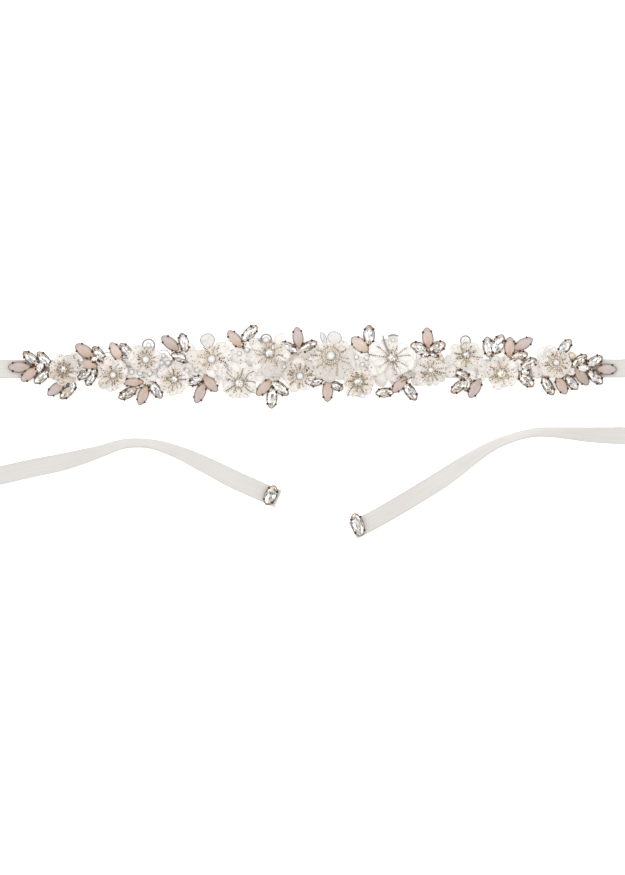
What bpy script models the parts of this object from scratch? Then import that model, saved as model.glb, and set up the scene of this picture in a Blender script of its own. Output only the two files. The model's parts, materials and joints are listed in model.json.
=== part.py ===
# Bridal sash: a half-inch satin ribbon with a long appliqué of flowers, pearls and pronged navette stones.
# Sizes and places in the tables are in millimetres and degrees; meshes are made in metres.
# +X runs along the ribbon and +Z is up. The origin is the ribbon's underside at the appliqué's middle.

from math import asin, atan2, ceil, cos, hypot, radians, sin, sqrt

import bmesh
import bpy
from mathutils import Vector

MM = 0.001
SHARP_ANGLE = 40.0

# Ribbon.
RIBBON_WIDTH = 12.7
RIBBON_WALL = 1.0
SEAM_GAP = 0.3
SECTION_STEP = 7.0
WAIST_STEP = 40.0
SPLINE_PIECES = 12
WAIST_END = 206.0
WAIST_RISE = 0.5

# What is sewn on sits a seam gap above the ribbon.
SEAT = RIBBON_WALL + SEAM_GAP
STEM_WIDTH = 1.4
STEM_HEIGHT = 1.0
STEM_STEP = 0.06
STEM_REACH = 2.4
SETTING_LIFT = 0.2
SETTING_WALL = 1.7
STONE_HEIGHT = 3.2
SETTING_FOOT = 0.82
SETTING_STEP = 0.05
JOINT_DIAMETER = 3.0
JOINT_HEIGHT = 1.8
JOINT_TOP = 0.7
JOINT_SIDES = 8
STONE_TABLE = 0.55
SIDE_POINTS = 3

# Flowers.
PETAL_SEAT = 5.8
PETAL_WALL = 1.0
PETAL_LIFT = 0.7
CUP_DEPTH = 1.6
CUP_SHARE = 0.62
RIM_SHARE = 0.96
DOME_SHARE = 0.6
DOME_RISE = 0.75
FLOWER_POINTS = 24
NOTCH_DEPTH = 0.22
SHELL_SPREAD = 30.0

# A tie is a straight start, an arc outside the visible part, and a tail.
LEFT_LOOP = {"centre": (-266.0, -42.5), "radius": 42.5, "start": 90.0, "end": 283.0, "tilt": -90.0}
RIGHT_LOOP = {"centre": (268.0, -24.0), "radius": 38.0, "start": 115.0, "end": -115.0, "tilt": -90.0}
LOOP_ROWS = 9
LOOP_EASE = 28.0
LOOP_ENTRY = 0.68

LEFT_START = (
    # x, y, tilt
    (-206.3, 0.0, 0.0),
    (-224.0, 0.0, 0.0),
    (-238.0, 0.0, -15.0),
    (-252.0, 0.0, -38.0),
)
LEFT_TAIL = (
    (-240.0, -80.1, -30.0),
    (-224.2, -76.4, 0.0),
    (-201.3, -71.2, 6.0),
    (-178.3, -66.5, 22.0),
    (-155.3, -60.1, 46.0),
    (-138.1, -54.4, 58.0),
    (-126.6, -53.0, 61.0),
    (-115.2, -53.8, 61.0),
    (-103.7, -56.9, 53.0),
    (-92.2, -61.3, 45.0),
    (-80.7, -66.8, 33.0),
    (-69.2, -72.5, 24.0),
    (-57.8, -78.4, 12.0),
    (-46.3, -83.7, 3.0),
    (-24.6, -93.2, 0.0),
)
RIGHT_START = (
    (206.3, 0.5, 0.0),
    (224.0, 0.6, 0.0),
    (239.0, 3.4, -30.0),
)
RIGHT_TAIL = (
    (240.0, -51.0, -38.0),
    (224.2, -48.1, -22.0),
    (212.7, -47.7, -28.0),
    (195.5, -47.0, -40.0),
    (178.3, -45.8, -55.0),
    (163.9, -45.2, -61.0),
    (155.3, -46.2, -64.0),
    (145.3, -48.6, -65.0),
    (132.4, -53.4, -61.0),
    (120.9, -59.7, -53.0),
    (109.4, -67.3, -39.0),
    (97.9, -75.5, -22.0),
    (86.5, -83.0, -12.0),
    (63.5, -97.0, -2.0),
    (46.3, -106.9, 0.0),
    (29.0, -115.9, 0.0),
)

TIP_STONES = (
    # name, x, y, turn, length, width
    ("tip_stone_left", -30.0, -90.5, 66, 15.4, 9.0),
    ("tip_stone_right", 32.4, -111.7, 108, 17.4, 9.3),
)

# Each spray: where its stems meet, where its stem ends over the ribbon, and its stones and pearls.
# kind, x, y, turn of the outer tip, length, width
SPRAYS = {
    "spray_left_end": {"joint": (-197.0, 1.1), "foot": (-197.0, 0.0), "stones": (
        ("opal", -210.2, 1.4, 180, 15.8, 7.9),
        ("clear", -201.8, 7.7, 141, 14.7, 7.2),
        ("clear", -192.3, 6.5, 129, 14.9, 7.5),
        ("opal", -202.8, -3.7, 219, 15.5, 7.7),
        ("clear", -194.1, -5.7, 221, 14.0, 7.5),
    )},
    "spray_low_a": {"joint": (-176.1, -9.7), "foot": (-174.7, -5.4), "stones": (
        ("opal", -183.8, -14.1, 219, 15.4, 7.7),
        ("clear", -175.3, -15.9, 226, 15.5, 7.7),
    )},
    "spray_top_a": {"joint": (-156.4, 5.7), "foot": (-156.4, 4.5), "stones": (
        ("opal", -163.4, 12.8, 144, 15.6, 7.9),
        ("opal", -161.3, 3.5, 163, 15.4, 7.2),
        ("clear", -153.0, 10.5, 127, 14.4, 7.5),
    )},
    "spray_low_b": {"joint": (-158.9, -3.0), "foot": (-157.5, -2.2), "stones": (
        ("clear", -164.3, -4.3, 197, 12.2, 6.5),
        ("clear", -158.8, -6.8, 238, 12.6, 6.5),
    )},
    "spray_top_b": {"joint": (-137.8, 6.6), "foot": (-137.8, 4.8), "stones": (
        ("opal", -140.8, 12.2, 118, 15.6, 7.9),
        ("clear", -133.1, 12.9, 131, 14.4, 7.0),
    )},
    "spray_low_c": {"joint": (-119.5, -12.2), "foot": (-120.3, -5.7), "stones": (
        ("opal", -128.5, -9.5, 181, 15.1, 6.9),
        ("clear", -132.4, -17.4, 209, 15.1, 7.6),
        ("opal", -121.4, -18.7, 249, 15.4, 7.9),
        ("clear", -112.3, -14.9, 305, 15.1, 7.7),
    )},
    "spray_top_c": {"joint": (-96.5, 11.8), "foot": (-94.4, 4.7), "stones": (
        ("opal", -102.0, 18.4, 140, 15.8, 8.2),
        ("clear", -92.2, 18.9, 104, 14.7, 7.5),
        ("clear", -95.1, 8.4, 160, 13.6, 7.0),
    )},
    "spray_low_d": {"joint": (-78.6, -7.5), "foot": (-79.3, -4.3), "stones": (
        ("clear", -83.8, -8.5, 205, 12.2, 6.9),
        ("opal", -73.2, -10.3, 310, 15.5, 7.9),
        ("opal", -80.6, -17.2, 247, 15.6, 7.9),
    )},
    "spray_top_d": {"joint": (-49.5, 16.1), "foot": (-49.5, 4.7), "stones": (
        ("opal", -55.5, 21.4, 129, 15.6, 7.9),
        ("clear", -45.1, 25.6, 47, 15.8, 7.9),
        ("pearl", -52.4, 11.0, 0, 4.0, 4.0),
        ("pearl", -46.9, 13.7, 0, 4.0, 4.0),
    )},
    "spray_low_e": {"joint": (-28.7, -10.0), "foot": (-28.7, -5.0), "stones": (
        ("opal", -34.6, -13.3, 224, 15.6, 7.9),
        ("clear", -23.0, -13.9, 320, 15.1, 7.9),
        ("clear", -29.1, -20.8, 267, 15.4, 8.0),
    )},
    "spray_top_e": {"joint": (-9.7, 11.9), "foot": (-9.3, 4.7), "stones": (
        ("opal", -10.4, 22.5, 97, 15.5, 7.9),
        ("clear", -2.9, 16.3, 27, 14.4, 7.2),
        ("clear", -17.2, 15.4, 152, 14.4, 7.5),
    )},
    "spray_low_f": {"joint": (10.8, -8.3), "foot": (10.8, -4.7), "stones": (
        ("opal", 10.9, -15.8, 268, 15.8, 8.0),
        ("clear", 2.5, -9.3, 200, 10.8, 6.5),
        ("clear", 17.2, -12.2, 335, 10.8, 6.5),
    )},
    "spray_top_f": {"joint": (39.8, 11.8), "foot": (43.4, 4.7), "stones": (
        ("opal", 33.9, 17.4, 140, 15.8, 9.3),
        ("clear", 40.5, 24.2, 90, 15.1, 8.6),
    )},
    "spray_low_g": {"joint": (65.3, -9.0), "foot": (66.0, -5.0), "stones": (
        ("opal", 62.4, -11.1, 228, 15.1, 7.7),
        ("clear", 51.7, -16.9, 185, 13.6, 7.2),
        ("clear", 70.0, -16.2, 305, 15.4, 7.9),
    )},
    "spray_top_g": {"joint": (82.9, 12.6), "foot": (82.9, 4.9), "stones": (
        ("opal", 82.6, 22.2, 97, 15.6, 8.2),
        ("clear", 76.4, 15.9, 156, 13.3, 6.9),
        ("clear", 89.3, 16.5, 25, 12.9, 6.9),
    )},
    "spray_low_h": {"joint": (111.9, -8.3), "foot": (110.0, -6.5), "stones": (
        ("clear", 104.8, -12.6, 218, 14.4, 7.5),
        ("opal", 117.0, -12.9, 240, 15.8, 8.2),
        ("clear", 107.9, -4.4, 150, 12.2, 6.7),
    )},
    "spray_top_h": {"joint": (128.8, 9.0), "foot": (127.4, 4.7), "stones": (
        ("clear", 126.3, 16.4, 94, 14.0, 6.3),
        ("clear", 132.7, 18.2, 73, 15.2, 7.7),
    )},
    "spray_top_i": {"joint": (142.8, 8.6), "foot": (141.7, 4.8), "stones": (
        ("opal", 141.3, 15.4, 88, 15.4, 8.0),
        ("opal", 151.0, 17.9, 30, 15.6, 7.9),
        ("clear", 148.0, 9.4, 12, 13.3, 7.0),
    )},
    "spray_right_i": {"joint": (149.2, -1.4), "foot": (147.8, -1.4), "stones": (
        ("clear", 154.6, 3.4, 24, 12.6, 7.2),
        ("clear", 156.8, -3.9, 330, 7.2, 4.3),
        ("clear", 153.2, -8.1, 322, 14.4, 7.6),
    )},
    "spray_top_j": {"joint": (181.0, 7.5), "foot": (180.4, 4.5), "stones": (
        ("clear", 180.8, 15.6, 51, 14.4, 7.7),
        ("pearl", 185.7, 9.7, 0, 5.6, 5.6),
    )},
    "spray_low_j": {"joint": (172.6, -3.9), "foot": (172.6, -2.9), "stones": (
        ("clear", 168.7, -12.2, 301, 15.4, 7.7),
        ("opal", 178.4, -11.7, 297, 14.7, 7.9),
    )},
    "spray_right_end": {"joint": (197.0, 0.0), "foot": (194.0, 0.0), "stones": (
        ("opal", 210.8, -0.2, 0, 14.4, 7.9),
        ("clear", 202.0, 5.5, 31, 13.8, 7.2),
        ("clear", 202.6, -6.0, 319, 14.2, 7.5),
        ("opal", 192.9, -5.5, 308, 15.4, 8.0),
        ("clear", 191.1, 5.7, 39, 14.2, 7.5),
        ("clear", 185.7, -9.7, 308, 13.3, 7.2),
    )},
}

# Threaded pearls: the places along each thread.
PEARL_DIAMETER = 4.0
PEARL_SEGMENTS = 8
PEARL_RINGS = 5
PEARL_GROUPS = {
    "pearls_left": ((-135.0, 2.5), (-129.6, -2.2), (-123.6, -3.0), (-116.6, -3.1), (-109.8, -3.2)),
    "pearls_upper": ((-107.0, 9.7), (-108.3, 4.3), (-103.6, 4.3)),
    "pearls_lower": ((-90.1, -1.3), (-82.5, -0.6)),
    "pearls_right": ((31.4, 8.6), (35.7, 2.9), (38.8, 8.1)),
}

FLOWERS = (
    # name, x, y, reach, petals, turn, hub, centre radius, shell turn, shell reach
    ("flower_01", -178.2, -0.2, 10.8, 6, 10, 2.7, 2.7, None, 0.0),
    ("flower_02", -142.7, -4.4, 11.1, 6, 40, 2.8, 2.4, None, 0.0),
    ("flower_03", -119.2, 6.7, 10.8, 6, 20, 2.7, 2.5, 83, 15.2),
    ("flower_04", -99.1, -7.4, 11.5, 6, 30, 2.9, 2.6, 270, 13.0),
    ("flower_05", -72.2, 7.0, 13.6, 6, 0, 3.4, 2.9, 102, 18.8),
    ("flower_06", -30.9, 11.7, 13.6, 6, 30, 6.3, 3.9, None, 0.0),
    ("flower_07", -52.4, -10.0, 12.2, 6, 0, 4.3, 3.6, None, 0.0),
    ("flower_08", -9.0, -5.1, 11.7, 6, 15, 2.9, 3.0, None, 0.0),
    ("flower_09", 13.0, 9.3, 14.4, 7, 0, 4.6, 3.3, 78, 17.9),
    ("flower_10", 56.8, 7.9, 17.2, 7, 10, 4.3, 3.3, None, 0.0),
    ("flower_11", 32.7, -9.2, 11.5, 6, 30, 4.0, 3.2, None, 0.0),
    ("flower_12", 84.7, -0.9, 11.7, 8, 0, 2.9, 2.2, None, 0.0),
    ("flower_13", 110.1, 10.1, 12.2, 7, 90, 4.8, 2.6, None, 0.0),
    ("flower_14", 135.2, -3.3, 12.9, 6, 30, 3.2, 3.2, None, 0.0),
    ("flower_15", 174.4, 4.5, 10.8, 6, 0, 3.0, 2.6, 180, 12.6),
)

MATERIALS = {
    # name: colour, roughness, metallic
    "satin": ((0.86, 0.84, 0.80), 0.4, 0.0),
    "crystal": ((0.82, 0.85, 0.88), 0.1, 0.0),
    "opal": ((0.78, 0.62, 0.57), 0.25, 0.0),
    "pearl": ((0.9, 0.87, 0.83), 0.2, 0.0),
    "organza": ((0.84, 0.79, 0.74), 0.5, 0.0),
}


def clear_scene():
    for item in list(bpy.data.objects):
        bpy.data.objects.remove(item)


def make_materials():
    made = {}
    for name, (colour, roughness, metallic) in MATERIALS.items():
        material = bpy.data.materials.new(name)
        material.use_nodes = True
        shader = material.node_tree.nodes["Principled BSDF"]
        shader.inputs["Base Color"].default_value = (*colour, 1.0)
        shader.inputs["Roughness"].default_value = roughness
        shader.inputs["Metallic"].default_value = metallic
        made[name] = material
    return made


def finish_mesh(bm, name):
    bmesh.ops.recalc_face_normals(bm, faces=bm.faces)
    mesh = bpy.data.meshes.new(name)
    bm.to_mesh(mesh)
    bm.free()
    mesh.shade_smooth()
    mesh.set_sharp_from_angle(angle=radians(SHARP_ANGLE))
    return mesh


def add_object(name, mesh, material, place=(0.0, 0.0, 0.0), turn=0.0):
    item = bpy.data.objects.new(name, mesh)
    item.location = Vector(place) * MM
    item.rotation_euler.z = radians(turn)
    if material is not None:
        mesh.materials.append(material)
    bpy.context.scene.collection.objects.link(item)
    return item


def skin_rings(name, rings):
    """One closed body through rings of points, with a flat cap on the first and the last."""
    bm = bmesh.new()
    loops = [[bm.verts.new(Vector(point) * MM) for point in ring] for ring in rings]
    count = len(rings[0])
    for lower, upper in zip(loops, loops[1:]):
        for i in range(count):
            j = (i + 1) % count
            bm.faces.new((lower[i], lower[j], upper[j], upper[i]))
    bm.faces.new(loops[0])
    bm.faces.new(loops[-1])
    return finish_mesh(bm, name)


# Ribbon

def loop_rows(loop):
    """The loop's arc as route rows; its tilt eases in and out over a share of the turn."""
    rows = []
    turn = loop["end"] - loop["start"]
    for i in range(LOOP_ROWS):
        share = i / (LOOP_ROWS - 1)
        angle = radians(loop["start"] + turn * share)
        from_end = min(share, 1.0 - share) * abs(turn)
        full = min(1.0, LOOP_ENTRY + (1.0 - LOOP_ENTRY) * from_end / LOOP_EASE)
        x = loop["centre"][0] + loop["radius"] * cos(angle)
        y = loop["centre"][1] + loop["radius"] * sin(angle)
        rows.append((x, y, loop["tilt"] * full))
    return rows


def spline_value(a, b, c, d, t):
    """Catmull-Rom value between b and c."""
    return b + 0.5 * t * (c - a + t * (2 * a - 5 * b + 4 * c - d + t * (3 * (b - c) + d - a)))


def even_route(rows, step):
    """Route rows (x, y, tilt) resampled at an even step along a smooth curve through them."""
    fine = []
    last = len(rows) - 1
    for i in range(last):
        around = [rows[max(0, min(last, i + k))] for k in (-1, 0, 1, 2)]
        for k in range(SPLINE_PIECES):
            fine.append([spline_value(*column, k / SPLINE_PIECES) for column in zip(*around)])
    fine.append(list(rows[-1]))
    lengths = [0.0]
    for before, after in zip(fine, fine[1:]):
        lengths.append(lengths[-1] + hypot(after[0] - before[0], after[1] - before[1]))
    count = ceil(lengths[-1] / step)
    route = []
    k = 0
    for i in range(count + 1):
        along = lengths[-1] * i / count
        while k < len(lengths) - 2 and lengths[k + 1] < along:
            k += 1
        share = (along - lengths[k]) / (lengths[k + 1] - lengths[k])
        route.append([a + (b - a) * share for a, b in zip(fine[k], fine[k + 1])])
    return route


def ribbon_section(place, heading, tilt):
    """The four corners of the ribbon's cross-section, its lowest corner on the floor."""
    across = Vector((-heading.y * cos(tilt), heading.x * cos(tilt), -sin(tilt)))
    normal = heading.cross(across)
    half_width = across * (RIBBON_WIDTH / 2)
    half_wall = normal * (RIBBON_WALL / 2)
    centre_height = abs(half_width.z) + abs(half_wall.z)
    centre = Vector((place[0], place[1], centre_height))
    return [centre + half_width * u + half_wall * v for u, v in ((-1, -1), (1, -1), (1, 1), (-1, 1))]


def make_ribbon(name, rows, step, material):
    route = even_route(rows, step)
    rings = []
    last = len(route) - 1
    for i, (x, y, tilt) in enumerate(route):
        before = route[max(0, i - 1)]
        after = route[min(last, i + 1)]
        heading = Vector((after[0] - before[0], after[1] - before[1], 0.0)).normalized()
        rings.append(ribbon_section((x, y), heading, radians(tilt)))
    return add_object(name, skin_rings(name, rings), material)


def make_ribbons(materials):
    waist_rows = ((-WAIST_END, 0.0, 0.0), (0.0, 0.0, 0.0), (WAIST_END, WAIST_RISE, 0.0))
    make_ribbon("ribbon_waist", waist_rows, WAIST_STEP, materials["satin"])
    left_rows = [*LEFT_START, *loop_rows(LEFT_LOOP), *LEFT_TAIL]
    make_ribbon("ribbon_left_tie", left_rows, SECTION_STEP, materials["satin"])
    right_rows = [*RIGHT_START, *loop_rows(RIGHT_LOOP), *RIGHT_TAIL]
    make_ribbon("ribbon_right_tie", right_rows, SECTION_STEP, materials["satin"])


# Stones, pearls and stems

def navette_outline(length, width, height, scale=1.0):
    """A pointed oval: two arcs through the tips, with SIDE_POINTS points on each."""
    half_length = length / 2
    arc_radius = (half_length ** 2 + (width / 2) ** 2) / width
    drop = arc_radius - width / 2
    half_angle = asin(half_length / arc_radius)
    points = []
    for side in (1, -1):
        for i in range(SIDE_POINTS + 1):
            angle = half_angle * (1 - 2 * i / (SIDE_POINTS + 1))
            x = arc_radius * sin(angle) * side
            y = (arc_radius * cos(angle) - drop) * side
            points.append((x * scale, y * scale, height))
    return points


def make_stone(name, x, y, turn, length, width, base, material=None):
    rings = [
        navette_outline(length, width, 0.0, SETTING_FOOT),
        navette_outline(length, width, SETTING_WALL),
        navette_outline(length, width, STONE_HEIGHT, STONE_TABLE),
    ]
    return add_object(name, skin_rings(name, rings), material, (x, y, base), turn)


def make_pearl(name, x, y, diameter, material=None):
    bm = bmesh.new()
    radius = diameter / 2 * MM
    bmesh.ops.create_uvsphere(bm, u_segments=PEARL_SEGMENTS, v_segments=PEARL_RINGS, radius=radius)
    mesh = finish_mesh(bm, name)
    return add_object(name, mesh, material, (x, y, SEAT + SETTING_LIFT + diameter / 2))


def make_stem(name, start, end, order=0):
    """A flat bar between two places, each a little higher than the one before, its ends square."""
    run = Vector((end[0] - start[0], end[1] - start[1]))
    length = run.length
    side = STEM_WIDTH / 2
    corners = ((0.0, -side), (length, -side), (length, side), (0.0, side))
    rings = [[(x, y, z) for x, y in corners] for z in (0.0, STEM_HEIGHT)]
    bar = add_object(name, skin_rings(name, rings), None, (start[0], start[1], SEAT + STEM_STEP * order))
    bar.rotation_euler.z = atan2(run.y, run.x)
    return bar


def make_joint(name, x, y):
    """The bead of solder where a spray's stems meet."""
    bm = bmesh.new()
    radius = JOINT_DIAMETER / 2 * MM
    depth = JOINT_HEIGHT * MM
    top = radius * JOINT_TOP
    bmesh.ops.create_cone(bm, cap_ends=True, segments=JOINT_SIDES, radius1=radius, radius2=top, depth=depth)
    height = SEAT + STEM_STEP / 2 + JOINT_HEIGHT / 2
    return add_object(name, finish_mesh(bm, name), None, (x, y, height))


def unite(name, pieces, material):
    """The union of the pieces as one object; the pieces themselves are removed."""
    base = pieces[0]
    for other in pieces[1:]:
        joined = base.modifiers.new("join " + other.name, "BOOLEAN")
        joined.operation = "UNION"
        joined.solver = "EXACT"
        joined.object = other
    bpy.context.view_layer.update()
    graph = bpy.context.evaluated_depsgraph_get()
    mesh = bpy.data.meshes.new_from_object(base.evaluated_get(graph))
    mesh.transform(base.matrix_world)
    for piece in pieces:
        bpy.data.objects.remove(piece)
    mesh.name = name
    mesh.materials.clear()
    return add_object(name, mesh, material)


def make_sprays(materials):
    for name, spray in SPRAYS.items():
        pieces = []
        stems = [make_joint(name + " joint", *spray["joint"])]
        stems.append(make_stem(name + " foot", spray["foot"], spray["joint"]))
        for i, (kind, x, y, turn, length, width) in enumerate(spray["stones"]):
            label = f"{name} {i}"
            inward = 0.0
            if kind == "pearl":
                pieces.append(make_pearl(label, x, y, length))
            else:
                base = SEAT + SETTING_LIFT + SETTING_STEP * i
                pieces.append(make_stone(label, x, y, turn, length, width, base))
                inward = length / 2 - STEM_REACH
            end = (x - inward * cos(radians(turn)), y - inward * sin(radians(turn)))
            stems.append(make_stem(label + " stem", spray["joint"], end, i + 1))
        lead = "opal" if any(row[0] == "opal" for row in spray["stones"]) else "crystal"
        unite(name, pieces + stems, materials[lead])


def make_pearls(materials):
    for name, places in PEARL_GROUPS.items():
        pieces = []
        for i, (x, y) in enumerate(places):
            pieces.append(make_pearl(f"{name} {i}", x, y, PEARL_DIAMETER))
        for i, (start, end) in enumerate(zip(places, places[1:])):
            pieces.append(make_stem(f"{name} thread {i}", start, end, i))
        unite(name, pieces, materials["pearl"])


def make_tip_stones(materials):
    for name, x, y, turn, length, width in TIP_STONES:
        make_stone(name, x, y, turn, length, width, SEAT, materials["crystal"])


# Flowers

def petal_reach(angle, reach, petals, turn, shell_turn, shell_reach):
    """How far the petals reach at an angle, with one taller shell petal where there is one."""
    lobe = abs(cos(petals * radians(angle - turn) / 2))
    far = reach * (1 - NOTCH_DEPTH * (1 - sqrt(lobe)))
    if shell_turn is not None:
        off = abs((angle - shell_turn + 180) % 360 - 180) / SHELL_SPREAD
        if off < 1:
            far = max(far, shell_reach * sqrt(1 - off * off))
    return far


def make_flower(row, materials):
    name, x, y, reach, petals, turn, hub, centre, shell_turn, shell_reach = row
    profile = (
        # kind of radius, radius, height
        ("round", hub, 0.0),
        ("round", hub, PETAL_SEAT - CUP_DEPTH - SEAT),
        ("round", reach * CUP_SHARE, PETAL_SEAT - SEAT),
        ("petal", 1.0, PETAL_SEAT - SEAT),
        ("petal", RIM_SHARE, PETAL_SEAT + PETAL_WALL + PETAL_LIFT - SEAT),
        ("round", centre, PETAL_SEAT + PETAL_WALL - CUP_DEPTH / 2 - SEAT),
        ("round", centre * DOME_SHARE, PETAL_SEAT + PETAL_WALL + centre * DOME_RISE - SEAT),
    )
    rings = []
    for kind, radius, height in profile:
        ring = []
        for i in range(FLOWER_POINTS):
            angle = 360 * i / FLOWER_POINTS
            far = radius
            if kind == "petal":
                far = radius * petal_reach(angle, reach, petals, turn, shell_turn, shell_reach)
            ring.append((far * cos(radians(angle)), far * sin(radians(angle)), height))
        rings.append(ring)
    mesh = skin_rings(name, rings)
    return add_object(name, mesh, materials["organza"], (x, y, SEAT))


clear_scene()
slots = make_materials()
make_ribbons(slots)
make_tip_stones(slots)
make_sprays(slots)
make_pearls(slots)
for flower in FLOWERS:
    make_flower(flower, slots)
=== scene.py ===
import json
import random
from math import atan2, ceil, copysign, cos, hypot, pi, radians, sin, sqrt

import bmesh
import bpy
from mathutils import Matrix, Vector

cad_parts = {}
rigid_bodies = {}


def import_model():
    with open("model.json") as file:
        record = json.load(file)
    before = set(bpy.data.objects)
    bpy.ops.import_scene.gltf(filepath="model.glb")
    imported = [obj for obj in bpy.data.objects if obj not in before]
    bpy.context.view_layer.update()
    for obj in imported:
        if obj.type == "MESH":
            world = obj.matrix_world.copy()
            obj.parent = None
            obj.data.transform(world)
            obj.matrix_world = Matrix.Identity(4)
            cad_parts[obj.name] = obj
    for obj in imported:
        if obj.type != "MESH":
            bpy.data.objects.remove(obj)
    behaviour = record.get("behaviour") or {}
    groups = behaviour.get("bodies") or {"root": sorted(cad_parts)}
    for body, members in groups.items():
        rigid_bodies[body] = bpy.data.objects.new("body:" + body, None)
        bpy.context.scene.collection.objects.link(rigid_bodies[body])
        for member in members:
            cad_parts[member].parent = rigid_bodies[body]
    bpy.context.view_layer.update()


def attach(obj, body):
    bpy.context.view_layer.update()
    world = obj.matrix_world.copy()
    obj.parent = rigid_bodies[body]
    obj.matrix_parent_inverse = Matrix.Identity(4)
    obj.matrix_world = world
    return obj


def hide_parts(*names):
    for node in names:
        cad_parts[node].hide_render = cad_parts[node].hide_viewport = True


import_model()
scene = bpy.context.scene
mm = 0.001  # places and sizes below are in millimetres and degrees
random.seed(11)


# Meshes and pieces

def finishMesh(bm, name, material, smooth=True, sharpAngle=50):
    bmesh.ops.scale(bm, vec=(mm, mm, mm), verts=bm.verts)
    mesh = bpy.data.meshes.new(name)
    bm.to_mesh(mesh)
    bm.free()
    mesh.materials.append(material)
    if smooth:
        mesh.shade_smooth()
        mesh.set_sharp_from_angle(angle=radians(sharpAngle))
    return mesh


def addPiece(name, mesh, stoodFor=()):
    piece = bpy.data.objects.new(name, mesh)
    scene.collection.objects.link(piece)
    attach(piece, "root")
    if stoodFor:
        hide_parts(*stoodFor)
    return piece


# Extrudes a closed ring of edges through (scale, height) rows, about the origin
def growRings(bm, verts, edges, rings):
    made = list(verts)
    scaleNow = 1.0
    for scale, height in rings:
        grown = bmesh.ops.extrude_edge_only(bm, edges=edges)["geom"]
        verts = [g for g in grown if isinstance(g, bmesh.types.BMVert)]
        edges = [g for g in grown if isinstance(g, bmesh.types.BMEdge)]
        for v in verts:
            v.co.x *= scale / scaleNow
            v.co.y *= scale / scaleNow
            v.co.z = height
        scaleNow = scale
        made += verts
    return made, edges


# Half the width of a navette at x: between two arcs that meet at the tips and an ellipse
def navetteEdge(x, length, width):
    half = length / 2
    arc = (half ** 2 + (width / 2) ** 2) / width
    pointed = sqrt(max(0.0, arc ** 2 - x ** 2)) - (arc - width / 2)
    rounded = width / 2 * sqrt(max(0.0, 1 - (x / half) ** 2))
    return pointed * (1 - stone["bluntness"]) + rounded * stone["bluntness"]


def toNavette(verts, length, width):
    for v in verts:
        angle = atan2(v.co.y, v.co.x)
        x = length / 2 * cos(angle)
        v.co.x = x
        v.co.y = copysign(navetteEdge(x, length, width), sin(angle))


def moveVerts(bm, made, place, turn=0.0):
    bmesh.ops.rotate(bm, verts=made, cent=(0, 0, 0), matrix=Matrix.Rotation(radians(turn), 3, "Z"))
    bmesh.ops.translate(bm, verts=made, vec=place)


# A small round bead, kept as a mesh and set many times over
def beadPattern(name, across, rings):
    bm = bmesh.new()
    bmesh.ops.create_uvsphere(bm, u_segments=across, v_segments=rings, radius=0.5)
    tintLayer(bm)
    pattern = bpy.data.meshes.new(name)
    bm.to_mesh(pattern)
    bm.free()
    return pattern


# Painted shade: a bead keeps only this share of its colour at its middle and below, so a pearl is darker on
# its underside and, seen from above, at its rim
def setBead(bm, pattern, place, size, colour=(1.0, 1.0, 1.0), shadedShare=1.0):
    bead = pattern.copy()
    tintsAndShade = []
    for v in bead.vertices:
        tintsAndShade += [*(Vector(colour) * (shadedShare + (1 - shadedShare) * max(0.0, v.co.z * 2))), 1.0]
    bead.attributes["tint"].data.foreach_set("color", tintsAndShade)
    bead.transform(Matrix.Translation(place) @ Matrix.Scale(size, 4))
    bm.from_mesh(bead)
    bpy.data.meshes.remove(bead)


def tintLayer(bm):
    return bm.verts.layers.float_color.new("tint")


def facetLayer(bm):
    return bm.loops.layers.float_color.new("tint")


# Round wires along lists of points, through Blender's curve bevel
def addTubes(bm, lines, radius, sides=1):
    curve = bpy.data.curves.new("wire", "CURVE")
    curve.dimensions = "3D"
    curve.bevel_depth = radius
    curve.bevel_resolution = sides
    curve.use_fill_caps = True
    for line in lines:
        spline = curve.splines.new("POLY")
        spline.points.add(len(line) - 1)
        for point, place in zip(spline.points, line):
            point.co = (*place, 1.0)
    holder = bpy.data.objects.new("wire", curve)
    scene.collection.objects.link(holder)
    bpy.context.view_layer.update()
    mesh = bpy.data.meshes.new_from_object(holder.evaluated_get(bpy.context.evaluated_depsgraph_get()))
    bm.from_mesh(mesh)
    bpy.data.objects.remove(holder)
    bpy.data.curves.remove(curve)
    bpy.data.meshes.remove(mesh)


# Places along a line of points, at an even gap
def evenly(points, gap):
    places = []
    due = 0.0
    for a, b in zip(points, points[1:]):
        step = (b - a).length
        while due <= step and step > 0:
            places.append(a.lerp(b, due / step))
            due += gap
        due -= step
    return places


# Materials

# Sets a node's inputs: a socket is linked to, anything else is the value itself
def feed(node, values):
    for key, value in values.items():
        if isinstance(value, bpy.types.NodeSocket):
            node.id_data.links.new(value, node.inputs[key])
        else:
            node.inputs[key].default_value = value


def addNode(tree, kind, values=None, **settings):
    node = tree.nodes.new(kind)
    for key, value in settings.items():
        setattr(node, key, value)
    feed(node, values or {})
    return node


def newMaterial(name, **values):
    material = bpy.data.materials.new(name)
    material.use_nodes = True
    shader = material.node_tree.nodes["Principled BSDF"]
    feed(shader, values)
    return material, material.node_tree, shader


def calculate(tree, operation, *values):
    return addNode(tree, "ShaderNodeMath", dict(enumerate(values)), operation=operation).outputs[0]


def multiplyColour(tree, factor, colour, by):
    values = {"Factor": factor, "A": colour, "B": by}
    return addNode(tree, "ShaderNodeMix", values, data_type="RGBA", blend_type="MULTIPLY").outputs["Result"]


def addBump(tree, shader, height, strength, distance):
    raised = addNode(tree, "ShaderNodeBump", {"Height": height, "Strength": strength, "Distance": distance})
    feed(shader, {"Normal": raised.outputs["Normal"]})


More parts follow.
